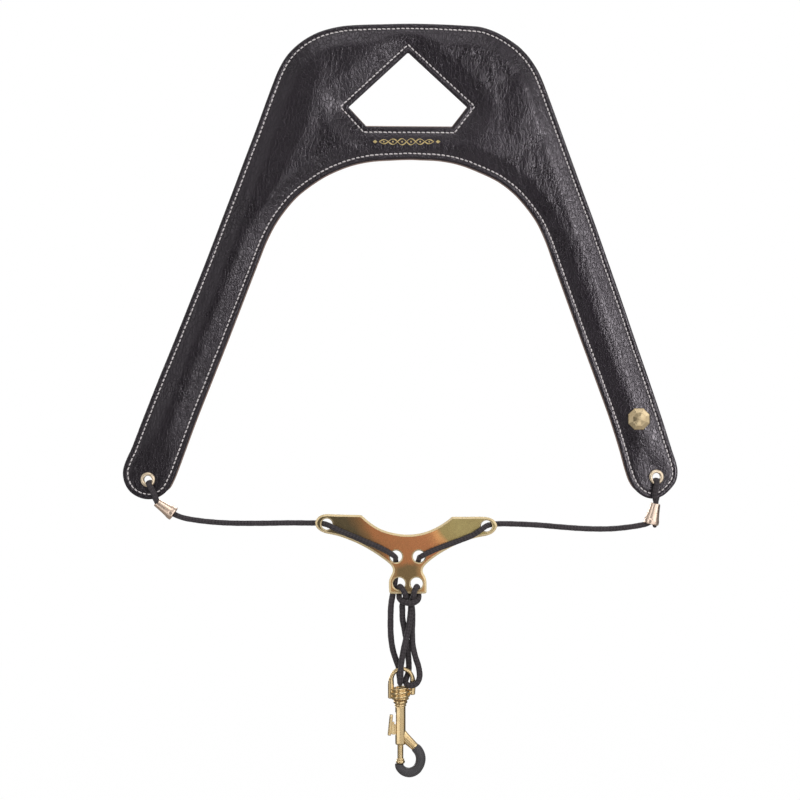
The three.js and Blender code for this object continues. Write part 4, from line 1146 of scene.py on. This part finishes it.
# the long run (x, y, z): left span, plate, two loops through the swivel eye with a hitch
# between them, plate, right span
CORD_RUN = [
    [-123.9, -1.2, -206.2], [-115.7, -1.1, -207.7], [-106.3, -1.0, -208.7],
    [-96.8, -0.9, -209.2], [-81.4, -0.7, -209.3], [-64.9, -0.3, -209.1], [-54.0, 0.0, -209.2],
    [-49.6, 0.0, -209.2], [-47.8, -0.35, -209.3], [-44.6, -3.0, -209.9], [-41.4, -5.7, -211.1],
    [-37.4, -5.6, -213.1], [-32.6, -5.4, -215.1], [-24.6, -5.35, -218.5], [-16.5, -5.35, -221.9],
    [-12.1, -5.4, -224.1], [-9.1, -5.15, -225.9], [-7.3, -4.1, -227.3], [-6.9, -2.7, -227.9],
    [-6.8, -1.1, -229.0], [-6.7, -0.65, -232.6], [-6.8, -0.6, -239.2], [-7.7, -0.6, -244.7],
    [-8.6, -0.6, -249.8], [-9.3, -0.6, -254.1], [-9.6, -0.7, -261.8], [-9.4, -0.6, -271.7],
    [-8.2, -0.2, -279.6], [-6.2, 0.5, -285.8], [-5.2, 0.8, -289.0], [-4.9, 0.85, -292.1],
    [-4.6, 0.1, -295.2], [-4.4, -1.6, -296.6], [-4.3, -3.3, -297.1], [-4.2, -4.6, -295.8],
    [-4.1, -4.85, -292.6], [-3.95, -4.5, -288.4], [-2.9, -4.4, -281.1], [-1.3, -4.4, -273.4],
    [0.2, -4.25, -267.3], [1.2, -3.9, -260.0], [1.55, -3.4, -256.6], [1.65, -3.0, -253.7],
    [2.1, -3.0, -251.8], [2.9, -4.4, -249.6], [3.3, -5.35, -247.7], [4.0, -5.2, -245.2],
    [4.9, -3.0, -243.8], [5.5, -0.85, -245.6], [5.7, -0.65, -247.6], [5.9, -1.2, -249.2],
    [5.6, -3.1, -250.9], [4.3, -5.1, -252.0], [2.1, -6.1, -252.7], [-0.7, -6.1, -252.6],
    [-3.0, -5.3, -251.8], [-4.6, -3.2, -250.6], [-4.9, -1.2, -249.1], [-4.9, -0.65, -247.6],
    [-5.0, -0.85, -245.6], [-4.4, -3.0, -243.8], [-3.0, -5.2, -245.2], [-1.7, -5.35, -247.7],
    [-1.3, -4.4, -249.6], [-2.3, -3.0, -251.8], [-3.1, -2.9, -253.7], [-3.1, -2.9, -257.0],
    [-3.0, -2.0, -261.8], [-1.9, -1.2, -267.9], [-0.2, -0.8, -278.1], [0.3, 0.2, -284.4],
    [0.5, 0.8, -288.4], [0.2, 0.75, -291.6], [-0.7, -0.2, -294.2], [-1.4, -2.1, -296.4],
    [-0.3, -3.9, -297.8], [2.1, -4.95, -298.1], [4.8, -5.1, -296.8], [6.3, -4.8, -293.6],
    [5.9, -4.4, -288.4], [4.1, -3.4, -282.7], [2.7, -2.0, -276.7], [2.3, -1.0, -269.5],
    [2.5, -0.2, -260.2], [2.1, 0.2, -254.7], [1.3, 0.1, -249.8], [0.1, -0.6, -244.7],
    [0.3, -0.65, -239.8], [2.2, -0.65, -235.4], [5.0, -0.65, -231.8], [6.0, -1.1, -229.0],
    [6.3, -2.7, -227.9], [6.7, -4.1, -227.6], [8.3, -5.15, -226.6], [11.2, -5.4, -225.1],
    [15.8, -5.35, -223.1], [23.9, -5.35, -220.1], [31.9, -5.4, -217.1], [35.7, -5.6, -215.4],
    [39.9, -5.7, -212.7], [43.0, -3.0, -210.7], [46.0, -0.35, -210.0], [48.0, 0.0, -209.8],
    [52.0, 0.0, -209.6], [70.0, -0.2, -210.2], [83.6, -0.4, -211.3], [93.0, -0.6, -212.0],
    [102.5, -0.8, -212.4], [112.0, -1.0, -212.3], [121.5, -1.1, -211.4], [127.8, -1.2, -210.4],
    [132.0, -1.2, -209.3]]
# heights where the strands pass from one moving body to the next
TOP_Z, MIDDLE_Z, BOTTOM_Z = -255.3, -262.0, -288.4
DROP_TRAVEL = 18.0

left_end, left_way = CORD_ENDS["left"]
right_end, right_way = CORD_ENDS["right"]
run = spline([*(left_end + left_way * s for s in (3.0, 6.5, 11.2)), *CORD_RUN,
              *(right_end + right_way * s for s in (9.6, 6.0, 3.0))],
             step=CORD_STEP)
run_frame = frames(run)
run_along = run_length(run)
# the cord wavers, is slack below the plate, and is squeezed a little where it bends hard
bend = norm(np.gradient(run_frame[0], axis=0), axis=1)
slack = ease(-238.0, -252.0, run[:, 2])
waver = 1 + 0.018 * np.sin(run_along * 0.9) + 0.012 * np.sin(run_along * 2.3 + 1.0)
run_radius = CORD_RADIUS * (1.045 + 0.095 * slack) * waver * (1 - 0.10 * np.clip(bend / 0.25, 0, 1))


def cord_index(point, start=0):
    """Index on the cord nearest to a point, searching from start."""
    return start + int(np.argmin(((run[start:] - np.array(point)) ** 2).sum(1)))


def crossings(level):
    above = run[:, 2] - level
    return [i for i in range(1, len(run)) if above[i - 1] * above[i] <= 0]


top, middle, bottom = (crossings(level) for level in (TOP_Z, MIDDLE_Z, BOTTOM_Z))
cuts = [0, cord_index([-8.15, -0.6, -247.2]), top[0], middle[0], bottom[0], bottom[1], middle[1],
        top[1], top[2], middle[2], bottom[2], bottom[3], middle[3], top[3],
        cord_index([0.7, -0.3, -247.2], start=top[-1]), len(run) - 1]


def blend_in_z(first, second, start, end):
    return {"blend": (first, second, (0, 0, start), (0, 0, end))}


leaving_plate = blend_in_z("plate", "drop_head", -249.0, TOP_Z)
neck = blend_in_z("drop_head", "drop", TOP_Z, MIDDLE_Z)
eye_turn = blend_in_z("hanger", "swivel", -291.0, -298.0)
long_strand = {"body": "drop", "squash": ("length_adjust", (0, 0, 1), (0, 0, MIDDLE_Z),
                                          1 - DROP_TRAVEL / (MIDDLE_Z - BOTTOM_Z))}
left_span = {"blend": ("harness", "plate", (-54.0, 0, 0), (-49.8, 0, 0))}
right_span = {"blend": ("plate", "harness", (49.8, 0, 0), (54.0, 0, 0))}
# pieces between successive cuts: name, motion, what they replace
CORD_PIECES = [
    ("left_span_cord", left_span, ["left_cord_span", "left_plate_cord"]),
    ("left_return_top", leaving_plate, ["left_return_strand"]),
    ("left_return_mid", neck, []),
    ("left_return_long", long_strand, []),
    ("left_eye_turn_cord", eye_turn, ["left_eye_turn"]),
    ("right_leg_long", long_strand, ["right_leg_strand"]),
    ("right_leg_mid", neck, []),
    ("hitch_cord", blend_in_z("plate", "drop_head", -252.9, TOP_Z),
     ["cord_hitch", "left_leg_head", "right_leg_head"]),
    ("left_leg_mid", neck, []),
    ("left_leg_long", long_strand, ["left_leg_strand"]),
    ("right_eye_turn_cord", eye_turn, ["right_eye_turn"]),
    ("right_return_long", long_strand, []),
    ("right_return_mid", neck, []),
    ("right_return_top", leaving_plate, ["right_return_strand"]),
    ("right_span_cord", right_span, ["right_cord_span", "right_plate_cord"])]

for (name, motion, replaced), first, last in zip(CORD_PIECES, cuts, cuts[1:]):
    part = slice(first, last + 1)
    obj = sweep(name, run[part], run_radius[part], CORD, CORD_SIDES, uv_start=run_along[first],
                frame=tuple(axis[part] for axis in run_frame), braid=CORD_RELIEF, hollow=0.5)
    finish_piece(obj, replaces=replaced, slot="black_cord", **motion)

# loop through an eyelet: (distance from the eyelet towards the cord's end, y), front leg first
LOOP = [
    (15.6, -1.75), (14.4, -2.1), (13.2, -2.75), (12.2, -3.5), (11.0, -4.0), (8.0, -4.15),
    (5.2, -4.35), (3.4, -4.55), (2.0, -4.2), (1.4, -3.1), (1.3, -1.3), (1.4, 0.5), (2.0, 1.7),
    (3.4, 2.2), (5.0, 2.15), (8.0, 1.85), (11.0, 1.45), (12.2, 1.0), (13.2, 0.3),
    (14.4, -0.35), (15.6, -0.65)]
LOOP_LENGTH, LOOP_TURN = 13.6, 13.2     # the table's own length, and where it leans to the cord
FRONT_LEG_POINTS = 10
LEG_SPREAD = {"left": -0.6, "right": 0.8}


def loop_cord(side):
    end, way = CORD_ENDS[side]
    eyelet = np.array([EYELETS[side][0], 0, EYELETS[side][1]])
    out = np.array([end[0] - eyelet[0], 0, end[2] - eyelet[2]])
    length = norm(out)
    out /= length
    aside = np.array([out[2], 0, -out[0]])
    lean = unit(out * 0.35 + way * 0.65)
    turn = LOOP_TURN * length / LOOP_LENGTH
    points = []
    for i, (distance, y) in enumerate(LOOP):
        reach = distance * length / LOOP_LENGTH
        if distance <= LOOP_TURN:
            point = eyelet + out * reach
        else:
            point = eyelet + out * turn + lean * (reach - turn) * 1.5
        # the two legs of the loop lie a little to either side
        shift = ease(3.0, 8.0, distance) * (1 - ease(11.5, 13.5, distance)) * LEG_SPREAD[side]
        point = point + aside * (shift if i < FRONT_LEG_POINTS else -shift)
        points.append([point[0], y, point[2]])
    path = spline(points, step=CORD_STEP)
    tangent = tangents(path)
    wide = unit(aside - tangent * (tangent @ aside)[:, None])
    part = np.linspace(0, 1, len(path))
    radius = 1.50 - 0.50 * (1 - ease(0.0, 0.16, np.minimum(part, 1 - part)))
    # flattened in the middle, inside the eyelet
    pinch = np.exp(-(((part - 0.5) / 0.11) ** 2))
    return sweep(f"{side}_loop_cord", path, radius, CORD, CORD_SIDES, braid=CORD_RELIEF,
                 frame=(tangent, np.cross(wide, tangent), wide),
                 oval=(1 - 0.42 * pinch, 1 + 0.10 * pinch))


for side in CORD_ENDS:
    finish_piece(loop_cord(side), replaces=[f"{side}_cord_loop"], slot="black_cord",
                 **blend_in_z("yoke", "harness", -195.9, -199.3))

# a short cut tail of cord below the right bell
tail = spline([right_end + right_way * 8.5,
               right_end + np.array([1.0, -0.6, 0]) + right_way * 11.0,
               right_end + np.array([2.3, -0.9, 0]) + right_way * 13.1], step=0.4)
obj = sweep("right_cord_tail", tail, 1.15, CORD, sides=16, round_caps=True)
finish_piece(obj, "harness", (), "black_cord")

# =====================================================================
# bells
# =====================================================================
# (radius, distance along the cord from the narrow end)
BELL_PROFILE = [
    (1.75, 0.3), (1.95, 0.0), (2.35, 0.0), (2.5, 0.45), (2.72, 2.6), (3.15, 5.9), (3.62, 8.7),
    (3.84, 9.15), (3.9, 9.6), (3.98, 11.0), (3.82, 11.6), (3.5, 11.75), (3.35, 11.3),
    (3.35, 10.3), (2.75, 6.0), (1.9, 1.2)]
BELLS = {"left": (-0.5, 1.0), "right": (0.55, 1.07)}    # shift along the cord, radius factor
KNOT_RADIUS, KNOT_PLACE = 2.55, 7.6


def stopper_knot(name, centre):
    """A lumpy ball that fills the bell inside its wide mouth."""
    mesh = bpy.data.meshes.new(name)
    bm = bmesh.new()
    bmesh.ops.create_icosphere(bm, subdivisions=4, radius=KNOT_RADIUS * MM)
    for vert in bm.verts:
        n = vert.co.normalized()
        vert.co *= 1 + 0.10 * math.sin(7 * n.x + 3 * n.z) * math.cos(5 * n.y + 2 * n.x)
    bm.to_mesh(mesh)
    bm.free()
    for face in mesh.polygons:
        face.use_smooth = True
    mesh.materials.append(CORD)
    obj = link_object(name, mesh)
    obj.location = tuple(centre * MM)
    return obj


for side, (shift, widen) in BELLS.items():
    end, way = CORD_ENDS[side]
    origin = end + way * shift
    profile = rounded(BELL_PROFILE, 0.3, 5) * [widen, 1.0]
    obj = lathe(f"{side}_bell", profile, tuple(origin), tuple(way), ROSE_GOLD, segments=80,
                sharp_deg=60)
    finish_piece(obj, "harness", [f"{side}_cord_bell"], "rose_gold")
    finish_piece(stopper_knot(f"{side}_stopper_knot", origin + way * KNOT_PLACE), "harness", (),
                 "black_cord")

# =====================================================================
# Y plate
# =====================================================================
# outline (x, z) in runs that meet at corners: top hollow, right arm, foot, left arm
PLATE_RUNS = [
    [[-24.9, -205.3], [-22.0, -207.9], [-17.6, -211.0], [-13.2, -213.1], [-8.8, -214.35],
     [-4.4, -215.15], [0.0, -215.4], [4.4, -215.1], [8.8, -214.2], [13.2, -212.6],
     [17.6, -210.35], [22.0, -207.4], [24.2, -205.6]],
    [[24.2, -205.6], [32.0, -205.6], [41.0, -205.6], [44.4, -206.0], [46.9, -207.1],
     [48.5, -208.9], [49.0, -210.6], [48.3, -212.6], [46.4, -214.6], [44.0, -215.7],
     [37.4, -217.1], [33.0, -218.4], [28.6, -220.1], [24.2, -222.0], [19.8, -224.4],
     [15.4, -227.2], [11.6, -230.1], [9.3, -232.3], [8.15, -234.3], [8.2, -236.2],
     [9.3, -238.3], [10.05, -240.4], [10.2, -243.5], [10.2, -247.0]],
    [[10.2, -247.0], [9.8, -247.6], [9.3, -247.75], [0.0, -247.75], [-9.3, -247.75],
     [-9.9, -247.6], [-10.3, -247.0]],
    [[-10.3, -247.0], [-10.5, -243.5], [-10.4, -240.6], [-9.6, -238.4], [-8.55, -236.3],
     [-8.35, -234.3], [-9.3, -232.3], [-11.6, -230.2], [-15.4, -227.4], [-19.8, -224.5],
     [-24.2, -222.0], [-28.6, -219.8], [-33.0, -218.0], [-37.4, -216.4], [-41.8, -215.3],
     [-45.6, -214.5], [-48.4, -213.2], [-50.3, -211.4], [-51.0, -209.2], [-50.3, -206.9],
     [-48.3, -205.0], [-45.4, -204.2], [-40.0, -204.3], [-32.0, -204.5], [-25.6, -204.8],
     [-24.9, -205.3]]]
# cord holes: x, z, radius
PLATE_HOLES = [
    (-44.6, -209.6, 3.05), (43.2, -210.6, 3.05), (-6.6, -227.4, 3.3), (6.0, -227.4, 3.3),
    (-4.9, -242.3, 3.35), (4.7, -242.3, 3.35)]
PLATE_STEP = 0.45
PLATE_FRONT_Y, PLATE_BACK_Y, CHAMFER = -3.84, -2.18, 0.50
EDGE_CHAMFER_WIDTH, HOLE_CHAMFER_WIDTH = 1.15, 0.7
PLATE_EDGE_RINGS = [0, 0.05, 0.15, 0.4, 0.8, 1.05, EDGE_CHAMFER_WIDTH, 1.25]
PLATE_HOLE_RINGS = [0, 0.04, 0.12, 0.3, 0.5, 0.62, HOLE_CHAMFER_WIDTH, 0.78]


def plate_front(_, d_edge, d_hole):
    slope = np.maximum(1 - d_edge / EDGE_CHAMFER_WIDTH, 1 - d_hole / HOLE_CHAMFER_WIDTH)
    return PLATE_FRONT_Y + CHAMFER * np.clip(slope, 0, 1)


def plate_back(_, d_edge, d_hole):
    return PLATE_BACK_Y - edge_drop(np.minimum(d_edge, d_hole), radius=0.45, depth=0.4)


outline = np.vstack([spline(points, step=PLATE_STEP)[:-1] for points in PLATE_RUNS])
obj = sheet("brass_y_plate", resample(outline, PLATE_STEP, closed=True),
            [circle(*hole, 52) for hole in PLATE_HOLES],
            [PLATE_EDGE_RINGS] + [PLATE_HOLE_RINGS] * len(PLATE_HOLES), grid=1.2,
            face=plate_front, reverse=plate_back, materials=[BRASS])
finish_piece(obj, "plate", ["y_plate"], "polished_brass")

# =====================================================================
# swivel eye
# =====================================================================
SWIVEL_X, SWIVEL_Y = -4.18, -1.8        # the upright axis of the swivel, hook and bolt
# centre line of the bail: (x from the swivel axis, z)
BAIL = [(-5.2, -305.1), (-5.2, -301.5), (-5.2, -297.8), (-4.95, -294.6), (-3.8, -291.8),
        (-1.9, -290.2), (1.2, -289.35), (4.4, -290.6), (6.3, -293.2), (6.8, -296.5),
        (6.65, -300.0), (6.45, -303.0)]
# turned profiles about the swivel axis: (radius, z)
EYE_BASE = [
    (0, -299.3), (3.7, -299.3), (4.9, -299.5), (5.3, -299.9), (5.3, -300.4), (4.6, -300.8),
    (4.6, -301.2), (5.35, -301.6), (5.5, -302.2), (5.35, -302.8), (4.6, -303.2), (4.6, -303.6),
    (5.3, -304.0), (5.4, -304.5), (5.2, -305.0), (4.5, -305.3), (4.5, -305.5), (4.75, -305.7),
    (4.5, -306.2), (0, -306.3)]
EYE_BORE = [(0, -298.5), (1.65, -298.5), (1.65, -307.5), (0, -307.5)]


def turned(name, profile, segments, **options):
    """A gold piece turned about the swivel axis."""
    return lathe(name, profile, (SWIVEL_X, SWIVEL_Y, 0), (0, 0, 1), GOLD, segments, **options)


def swivel_eye():
    path = spline([[SWIVEL_X + x, SWIVEL_Y, z] for x, z in BAIL], step=0.35)
    eye = rod("swivel_eye_casting", path, 1.15 + 0.5 * ease(-292.5, -298.0, path[:, 2]), 1.12,
              GOLD, sides=32)
    base = turned("base", rounded(EYE_BASE, 0.3, 9), segments=96, sharp_deg=60)
    for vert in base.data.vertices:
        # the cast ridges run a little uphill to the right
        uphill = float(ease(-306.1, -304.8, vert.co.z / MM))
        vert.co.z += (vert.co.x - SWIVEL_X * MM) * 0.12 * uphill
    shoulder_path = spline([[SWIVEL_X - 5.0, SWIVEL_Y, -303.9], [SWIVEL_X, SWIVEL_Y, -303.0],
                            [SWIVEL_X + 6.3, SWIVEL_Y, -301.6]], step=0.5)
    shoulder = rod("shoulder", shoulder_path, 1.3, 1.12, GOLD)
    boolean(eye, base)
    boolean(eye, shoulder)
    boolean(eye, turned("hole", EYE_BORE, segments=40), "DIFFERENCE")
    shade_by_angle(eye, 26)
    return eye


finish_piece(swivel_eye(), "swivel", ["swivel_eye"], "gold_plated_metal")

# =====================================================================
# snap hook
# =====================================================================
HOOK_STEM = [
    (0, -298.75), (1.7, -298.75), (2.2, -299.05), (2.3, -299.4), (1.3, -299.75),
    (1.3, -306.55), (3.3, -306.55), (3.75, -306.9), (3.85, -307.4), (3.8, -308.0),
    (3.3, -308.4), (3.05, -308.8), (3.3, -309.2), (3.2, -309.7), (2.75, -310.1),
    (2.4, -310.4), (0, -310.4)]
BARREL = [(0, -309.9), (2.6, -309.9), (2.85, -310.3), (2.85, -330.2), (2.65, -330.9),
          (2.35, -331.1), (0, -331.1)]
BARREL_BORE = [(0, -310.9), (1.85, -310.9), (1.85, -333.0), (0, -333.0)]
# centre lines in the plane of the swivel axis: (x, z)
HOOK_ARM = [(-3.6, -325.2), (-2.0, -326.9), (0.9, -329.6), (3.75, -332.25)]
HOOK_TOP = (2.4, -330.8)
HOOK_LINE = [(3.80, -332.4), (5.6, -334.4), (6.75, -336.9), (7.0, -339.4), (6.3, -342.2),
             (4.4, -345.0), (1.3, -346.4), (-1.8, -345.95), (-3.95, -344.3), (-4.75, -342.9),
             (-4.8, -341.75)]
RIB_OFFSETS = (-1.35, -0.45, 0.45, 1.35)    # ribs across the arm, from its middle


def hook_path(points, step=0.35):
    return spline([[x, SWIVEL_Y, z] for x, z in points], step=step)


def barrel_flats(angle):
    """An eight-sided barrel, one facet turned to the front left, with its corners taken off."""
    eighth = math.pi / 4
    offset = (angle - math.radians(268)) % eighth - eighth / 2
    return min(math.cos(math.pi / 8) / math.cos(offset), 0.982) * 1.01


def box(name, x, z, size, bevel_width, segments=3, turn=0.0):
    """A bevelled gold box on the swivel's plane, x from the axis, turned about Y."""
    bm = bmesh.new()
    bmesh.ops.create_cube(bm, size=1.0)
    for vert in bm.verts:
        dx, dy, dz = (c * s for c, s in zip(vert.co, size))
        vert.co = Vector((SWIVEL_X + x + dx * math.cos(turn) + dz * math.sin(turn), SWIVEL_Y + dy,
                          z - dx * math.sin(turn) + dz * math.cos(turn))) * MM
    bmesh.ops.bevel(bm, geom=bm.edges[:], offset=bevel_width * MM, segments=segments,
                    profile=0.5, affect="EDGES")
    mesh = bpy.data.meshes.new(name)
    bm.to_mesh(mesh)
    bm.free()
    mesh.materials.append(GOLD)
    for face in mesh.polygons:
        face.use_smooth = True
    return link_object(name, mesh)


def arm_rib(offset):
    """A thin cast rib along the front of the arm."""
    shift = np.array([0.70, 0.0, 0.71]) * offset
    start = 1.55 * math.sqrt(1 - (offset / 2.75) ** 2)
    end = 2.1 * math.sqrt(1 - (offset / 2.3) ** 2)
    path = spline([
        np.array([-1.3, SWIVEL_Y - start - 0.02, -327.6]) + shift,
        np.array([0.9, SWIVEL_Y - (start + end) / 2 - 0.02, -329.6]) + shift,
        np.array([3.0, SWIVEL_Y - end + 0.02, -331.55]) + shift], step=0.4)
    return rod("rib", path, 0.24, 0.24, GOLD, sides=12)


def snap_hook():
    hook = turned("snap_hook_body", rounded(HOOK_STEM, 0.18, 8), segments=72)
    boolean(hook, turned("barrel", rounded(BARREL, 0.2, 8), segments=192, sharp_deg=40,
                         radius_scale=barrel_flats))
    path = hook_path(HOOK_ARM)
    boolean(hook, rod("arm", path, np.linspace(3.0, 2.25, len(path)),
                      np.linspace(1.55, 2.1, len(path)), GOLD, sides=32))
    core = hook_path([HOOK_TOP, *HOOK_LINE[:-2], (-4.5, -343.5)])
    boolean(hook, rod("core", core, 1.5, 1.5, GOLD, sides=22))
    boolean(hook, turned("bore", BARREL_BORE, segments=48), "DIFFERENCE")
    boolean(hook, box("slot", -2.9, -319.6, size=(4.2, 1.9, 12.8), bevel_width=0.45),
            "DIFFERENCE")
    for offset in RIB_OFFSETS:
        boolean(hook, arm_rib(offset))
    shade_by_angle(hook, 19)
    return hook


def rubber_coat():
    path = hook_path(HOOK_LINE, step=0.3)
    part = np.linspace(0, 1, len(path))
    radius = (2.68 - 0.34 * ease(0.62, 1.0, part) + 0.03 * np.sin(part * 9)
              - 0.2 * (1 - ease(0.0, 0.05, part)))
    coat = rod("rubber_hook_coat", path, radius, radius, RUBBER, sides=36, round_caps=False)
    bevel(coat, width=0.38, segments=4, angle_deg=50)
    core = hook_path([HOOK_TOP, *HOOK_LINE[:-3], (-3.9, -344.3), (-4.5, -343.4)])
    boolean(coat, rod("coat_core", core, 1.62, 1.62, RUBBER, sides=22), "DIFFERENCE")
    shade_by_angle(coat, 45)
    return coat


finish_piece(snap_hook(), "hook", ["hook_body"], "gold_plated_metal")
finish_piece(rubber_coat(), "hook", ["hook_rubber_coat"], "black_rubber")

# =====================================================================
# latch bolt and its spring
# =====================================================================
BOLT = [
    (0, -319.4), (1.62, -319.4), (1.62, -331.2), (1.62, -338.6), (2.05, -338.85),
    (2.15, -339.2), (1.95, -339.55), (2.3, -339.8), (2.5, -340.2), (2.5, -340.8),
    (2.15, -341.35), (0, -341.45)]
SPRING_TURNS, SPRING_TOP, SPRING_BOTTOM, SPRING_RADIUS = 6.5, -311.2, -319.2, 1.28


def latch_bolt():
    """The sliding rod with the thumb tab that stands out of the barrel's slot."""
    bolt = turned("latch_bolt_rod", rounded(BOLT, 0.16, 8), segments=56)
    boolean(bolt, box("stem", -2.7, -322.7, size=(3.6, 1.35, 5.6), bevel_width=0.25))
    boolean(bolt, box("web", -4.35, -321.9, size=(2.0, 2.6, 6.6), bevel_width=0.35, segments=6))
    boolean(bolt, box("tab", -5.55, -320.3, size=(1.9, 4.2, 11.3), bevel_width=0.6, segments=7,
                      turn=0.105))
    shade_by_angle(bolt, 19)
    return bolt


def bolt_spring():
    angle = np.linspace(0, 2 * np.pi * SPRING_TURNS, 260)
    z = SPRING_TOP + (SPRING_BOTTOM - SPRING_TOP) * (angle / angle[-1])
    path = np.stack([SWIVEL_X + SPRING_RADIUS * np.cos(angle),
                     SWIVEL_Y + SPRING_RADIUS * np.sin(angle), z], 1)
    return sweep("bolt_coil_spring", path, 0.2, STEEL, sides=8, round_caps=True)


finish_piece(latch_bolt(), "bolt", ["latch_bolt"], "gold_plated_metal")
finish_piece(bolt_spring(), "hook", ["bolt_spring"], "steel",
             squash=("bolt_slide", (0, 0, 1), (0, 0, -311.0), 1 - 5.5 / 8.4))

# =====================================================================
# stage, world, lights, camera (metres)
# =====================================================================
FLOOR_Z, FLOOR_RADIUS, FLOOR_SEGMENTS = -0.3560, 3.0, 96
PRODUCT_CENTRE = (-0.004, 0, -0.14)


def floor_material():
    """Glows nearly white to the camera and is plain diffuse to all other rays."""
    n = new_material("pale_floor")
    distance = n.add("VectorMath", {0: n.coord.outputs["Object"]}, operation="LENGTH")
    glow = n.remap(distance.outputs["Value"], span=(0.05, 0.6), to=(0.995, 1.0),
                   interpolation_type="SMOOTHSTEP")
    seen = n.math("MULTIPLY", glow, n.add("LightPath", {}).outputs["Is Camera Ray"])
    diffuse = n.add("BsdfDiffuse", {"Color": (0.62, 0.62, 0.63)})
    emission = n.add("Emission", {"Color": (1, 1, 1), "Strength": 1.0})
    mixed = n.add("MixShader", {0: seen, 1: diffuse.outputs[0], 2: emission.outputs[0]})
    return n.output("OutputMaterial", mixed)


def add_floor():
    angles = [2 * math.pi * i / FLOOR_SEGMENTS for i in range(FLOOR_SEGMENTS)]
    rim = [(FLOOR_RADIUS * math.cos(a), FLOOR_RADIUS * math.sin(a), 0) for a in angles]
    mesh = bpy.data.meshes.new("floor")
    mesh.from_pydata([(0, 0, 0)] + rim, [], [
        (0, 1 + i, 1 + (i + 1) % FLOOR_SEGMENTS) for i in range(FLOOR_SEGMENTS)])
    floor = bpy.data.objects.new("floor", mesh)
    floor.location = (0, 0, FLOOR_Z)
    floor.visible_glossy = False
    floor.visible_shadow = False
    COLLECTION.objects.link(floor)
    mesh.materials.append(floor_material())


def add_world():
    """White to the camera; a studio that is dark at the horizon to all other rays."""
    world = bpy.data.worlds.new("studio")
    scene.world = world
    n = Nodes(world)
    greys = [(p, (c, c, c * 0.98))
             for p, c in ((0.30, 0.26), (0.44, 0.10), (0.55, 0.10), (0.64, 0.30), (0.80, 0.45))]
    height = n.remap(n.split(n.coord.outputs["Generated"])[2], span=(-1, 1))
    studio_color = n.ramp(height, [(0.0, (0.30, 0.28, 0.26)), *greys, (1.0, (0.55, 0.55, 0.56))],
                          interpolation="EASE")
    studio = n.add("Background", {"Color": studio_color, "Strength": 1.0})
    white = n.add("Background", {"Color": (1, 1, 1), "Strength": 1.0})
    camera_ray = n.add("LightPath", {}).outputs["Is Camera Ray"]
    mixed = n.add("MixShader", {0: camera_ray, 1: studio.outputs[0], 2: white.outputs[0]})
    n.output("OutputWorld", mixed)


def area(name, at, toward, size, power, size_y=None, receivers=None):
    light = bpy.data.lights.new(name, "AREA")
    light.energy, light.size = power, size
    if size_y:
        light.shape, light.size_y = "RECTANGLE", size_y
    obj = bpy.data.objects.new(name, light)
    obj.location = at
    obj.rotation_euler = (Vector(toward) - Vector(at)).to_track_quat("-Z", "Y").to_euler()
    obj.visible_camera = False
    COLLECTION.objects.link(obj)
    if receivers:
        obj.light_linking.receiver_collection = receivers
    return obj


def add_lights():
    leather_only = bpy.data.collections.new("leather_light_targets")
    leather_only.objects.link(leather_panel)
    all_but_leather = bpy.data.collections.new("hardware_light_targets")
    all_but_leather.objects.link(leather_panel)
    all_but_leather.collection_objects[0].light_linking.link_state = "EXCLUDE"
    area("card_right", at=(0.42, -1.5, -0.15), toward=(0.05, 0, -0.15), size=1.05, size_y=1.2,
         power=4.1, receivers=all_but_leather)
    area("leather_card", at=(0.55, -1.5, -0.15), toward=(0.10, 0, -0.15), size=0.80, size_y=1.2,
         power=1.8, receivers=leather_only)
    arm_card = area("arm_card", at=(0.66, -0.85, -0.05), toward=(0.15, 0, -0.08), size=0.32,
                    size_y=0.75, power=0.62, receivers=leather_only)
    arm_card.data.spread = math.radians(32)
    upper, lower = (0, 0, -0.15), (0, 0, -0.30)
    area("key_right", at=(0.85, -0.65, 0.12), toward=upper, size=0.60, size_y=0.90, power=2.6)
    area("key_right_low", at=(0.85, -0.65, -0.58), toward=lower, size=0.60, size_y=0.50,
         power=0.55)
    area("fill_left", at=(-0.95, -0.75, 0.10), toward=upper, size=0.50, size_y=0.90, power=1.9)
    area("fill_left_low", at=(-0.95, -0.75, -0.60), toward=lower, size=0.50, size_y=0.50,
         power=0.85)
    area("key_top", at=(-0.10, -0.70, 0.95), toward=PRODUCT_CENTRE, size=0.7, size_y=0.4,
         power=2.8)
    area("strip_low", at=(0.1, -0.9, -0.85), toward=PRODUCT_CENTRE, size=0.8, size_y=0.2,
         power=1.2)
    area("back_top", at=(0.3, 1.0, 0.7), toward=PRODUCT_CENTRE, size=0.6, power=5)
    area("back_low", at=(-0.7, 1.0, -0.1), toward=PRODUCT_CENTRE, size=0.5, power=4)


def add_camera():
    view_width, lens, sensor = 0.440, 85, 36
    camera = bpy.data.cameras.new("camera")
    camera.lens, camera.sensor_width = lens, sensor
    camera.clip_start, camera.clip_end = 0.01, 50
    obj = bpy.data.objects.new("camera", camera)
    distance = view_width / (2 * (sensor / 2 / lens))
    obj.location = (-0.0044, -0.003 - distance, -0.14135)
    obj.rotation_euler = (math.pi / 2, 0, 0)
    COLLECTION.objects.link(obj)
    scene.camera = obj


add_floor()
add_world()
add_lights()
add_camera()
scene.view_settings.view_transform = "Standard"
scene.view_settings.look = "None"
scene.view_settings.exposure = 0.0
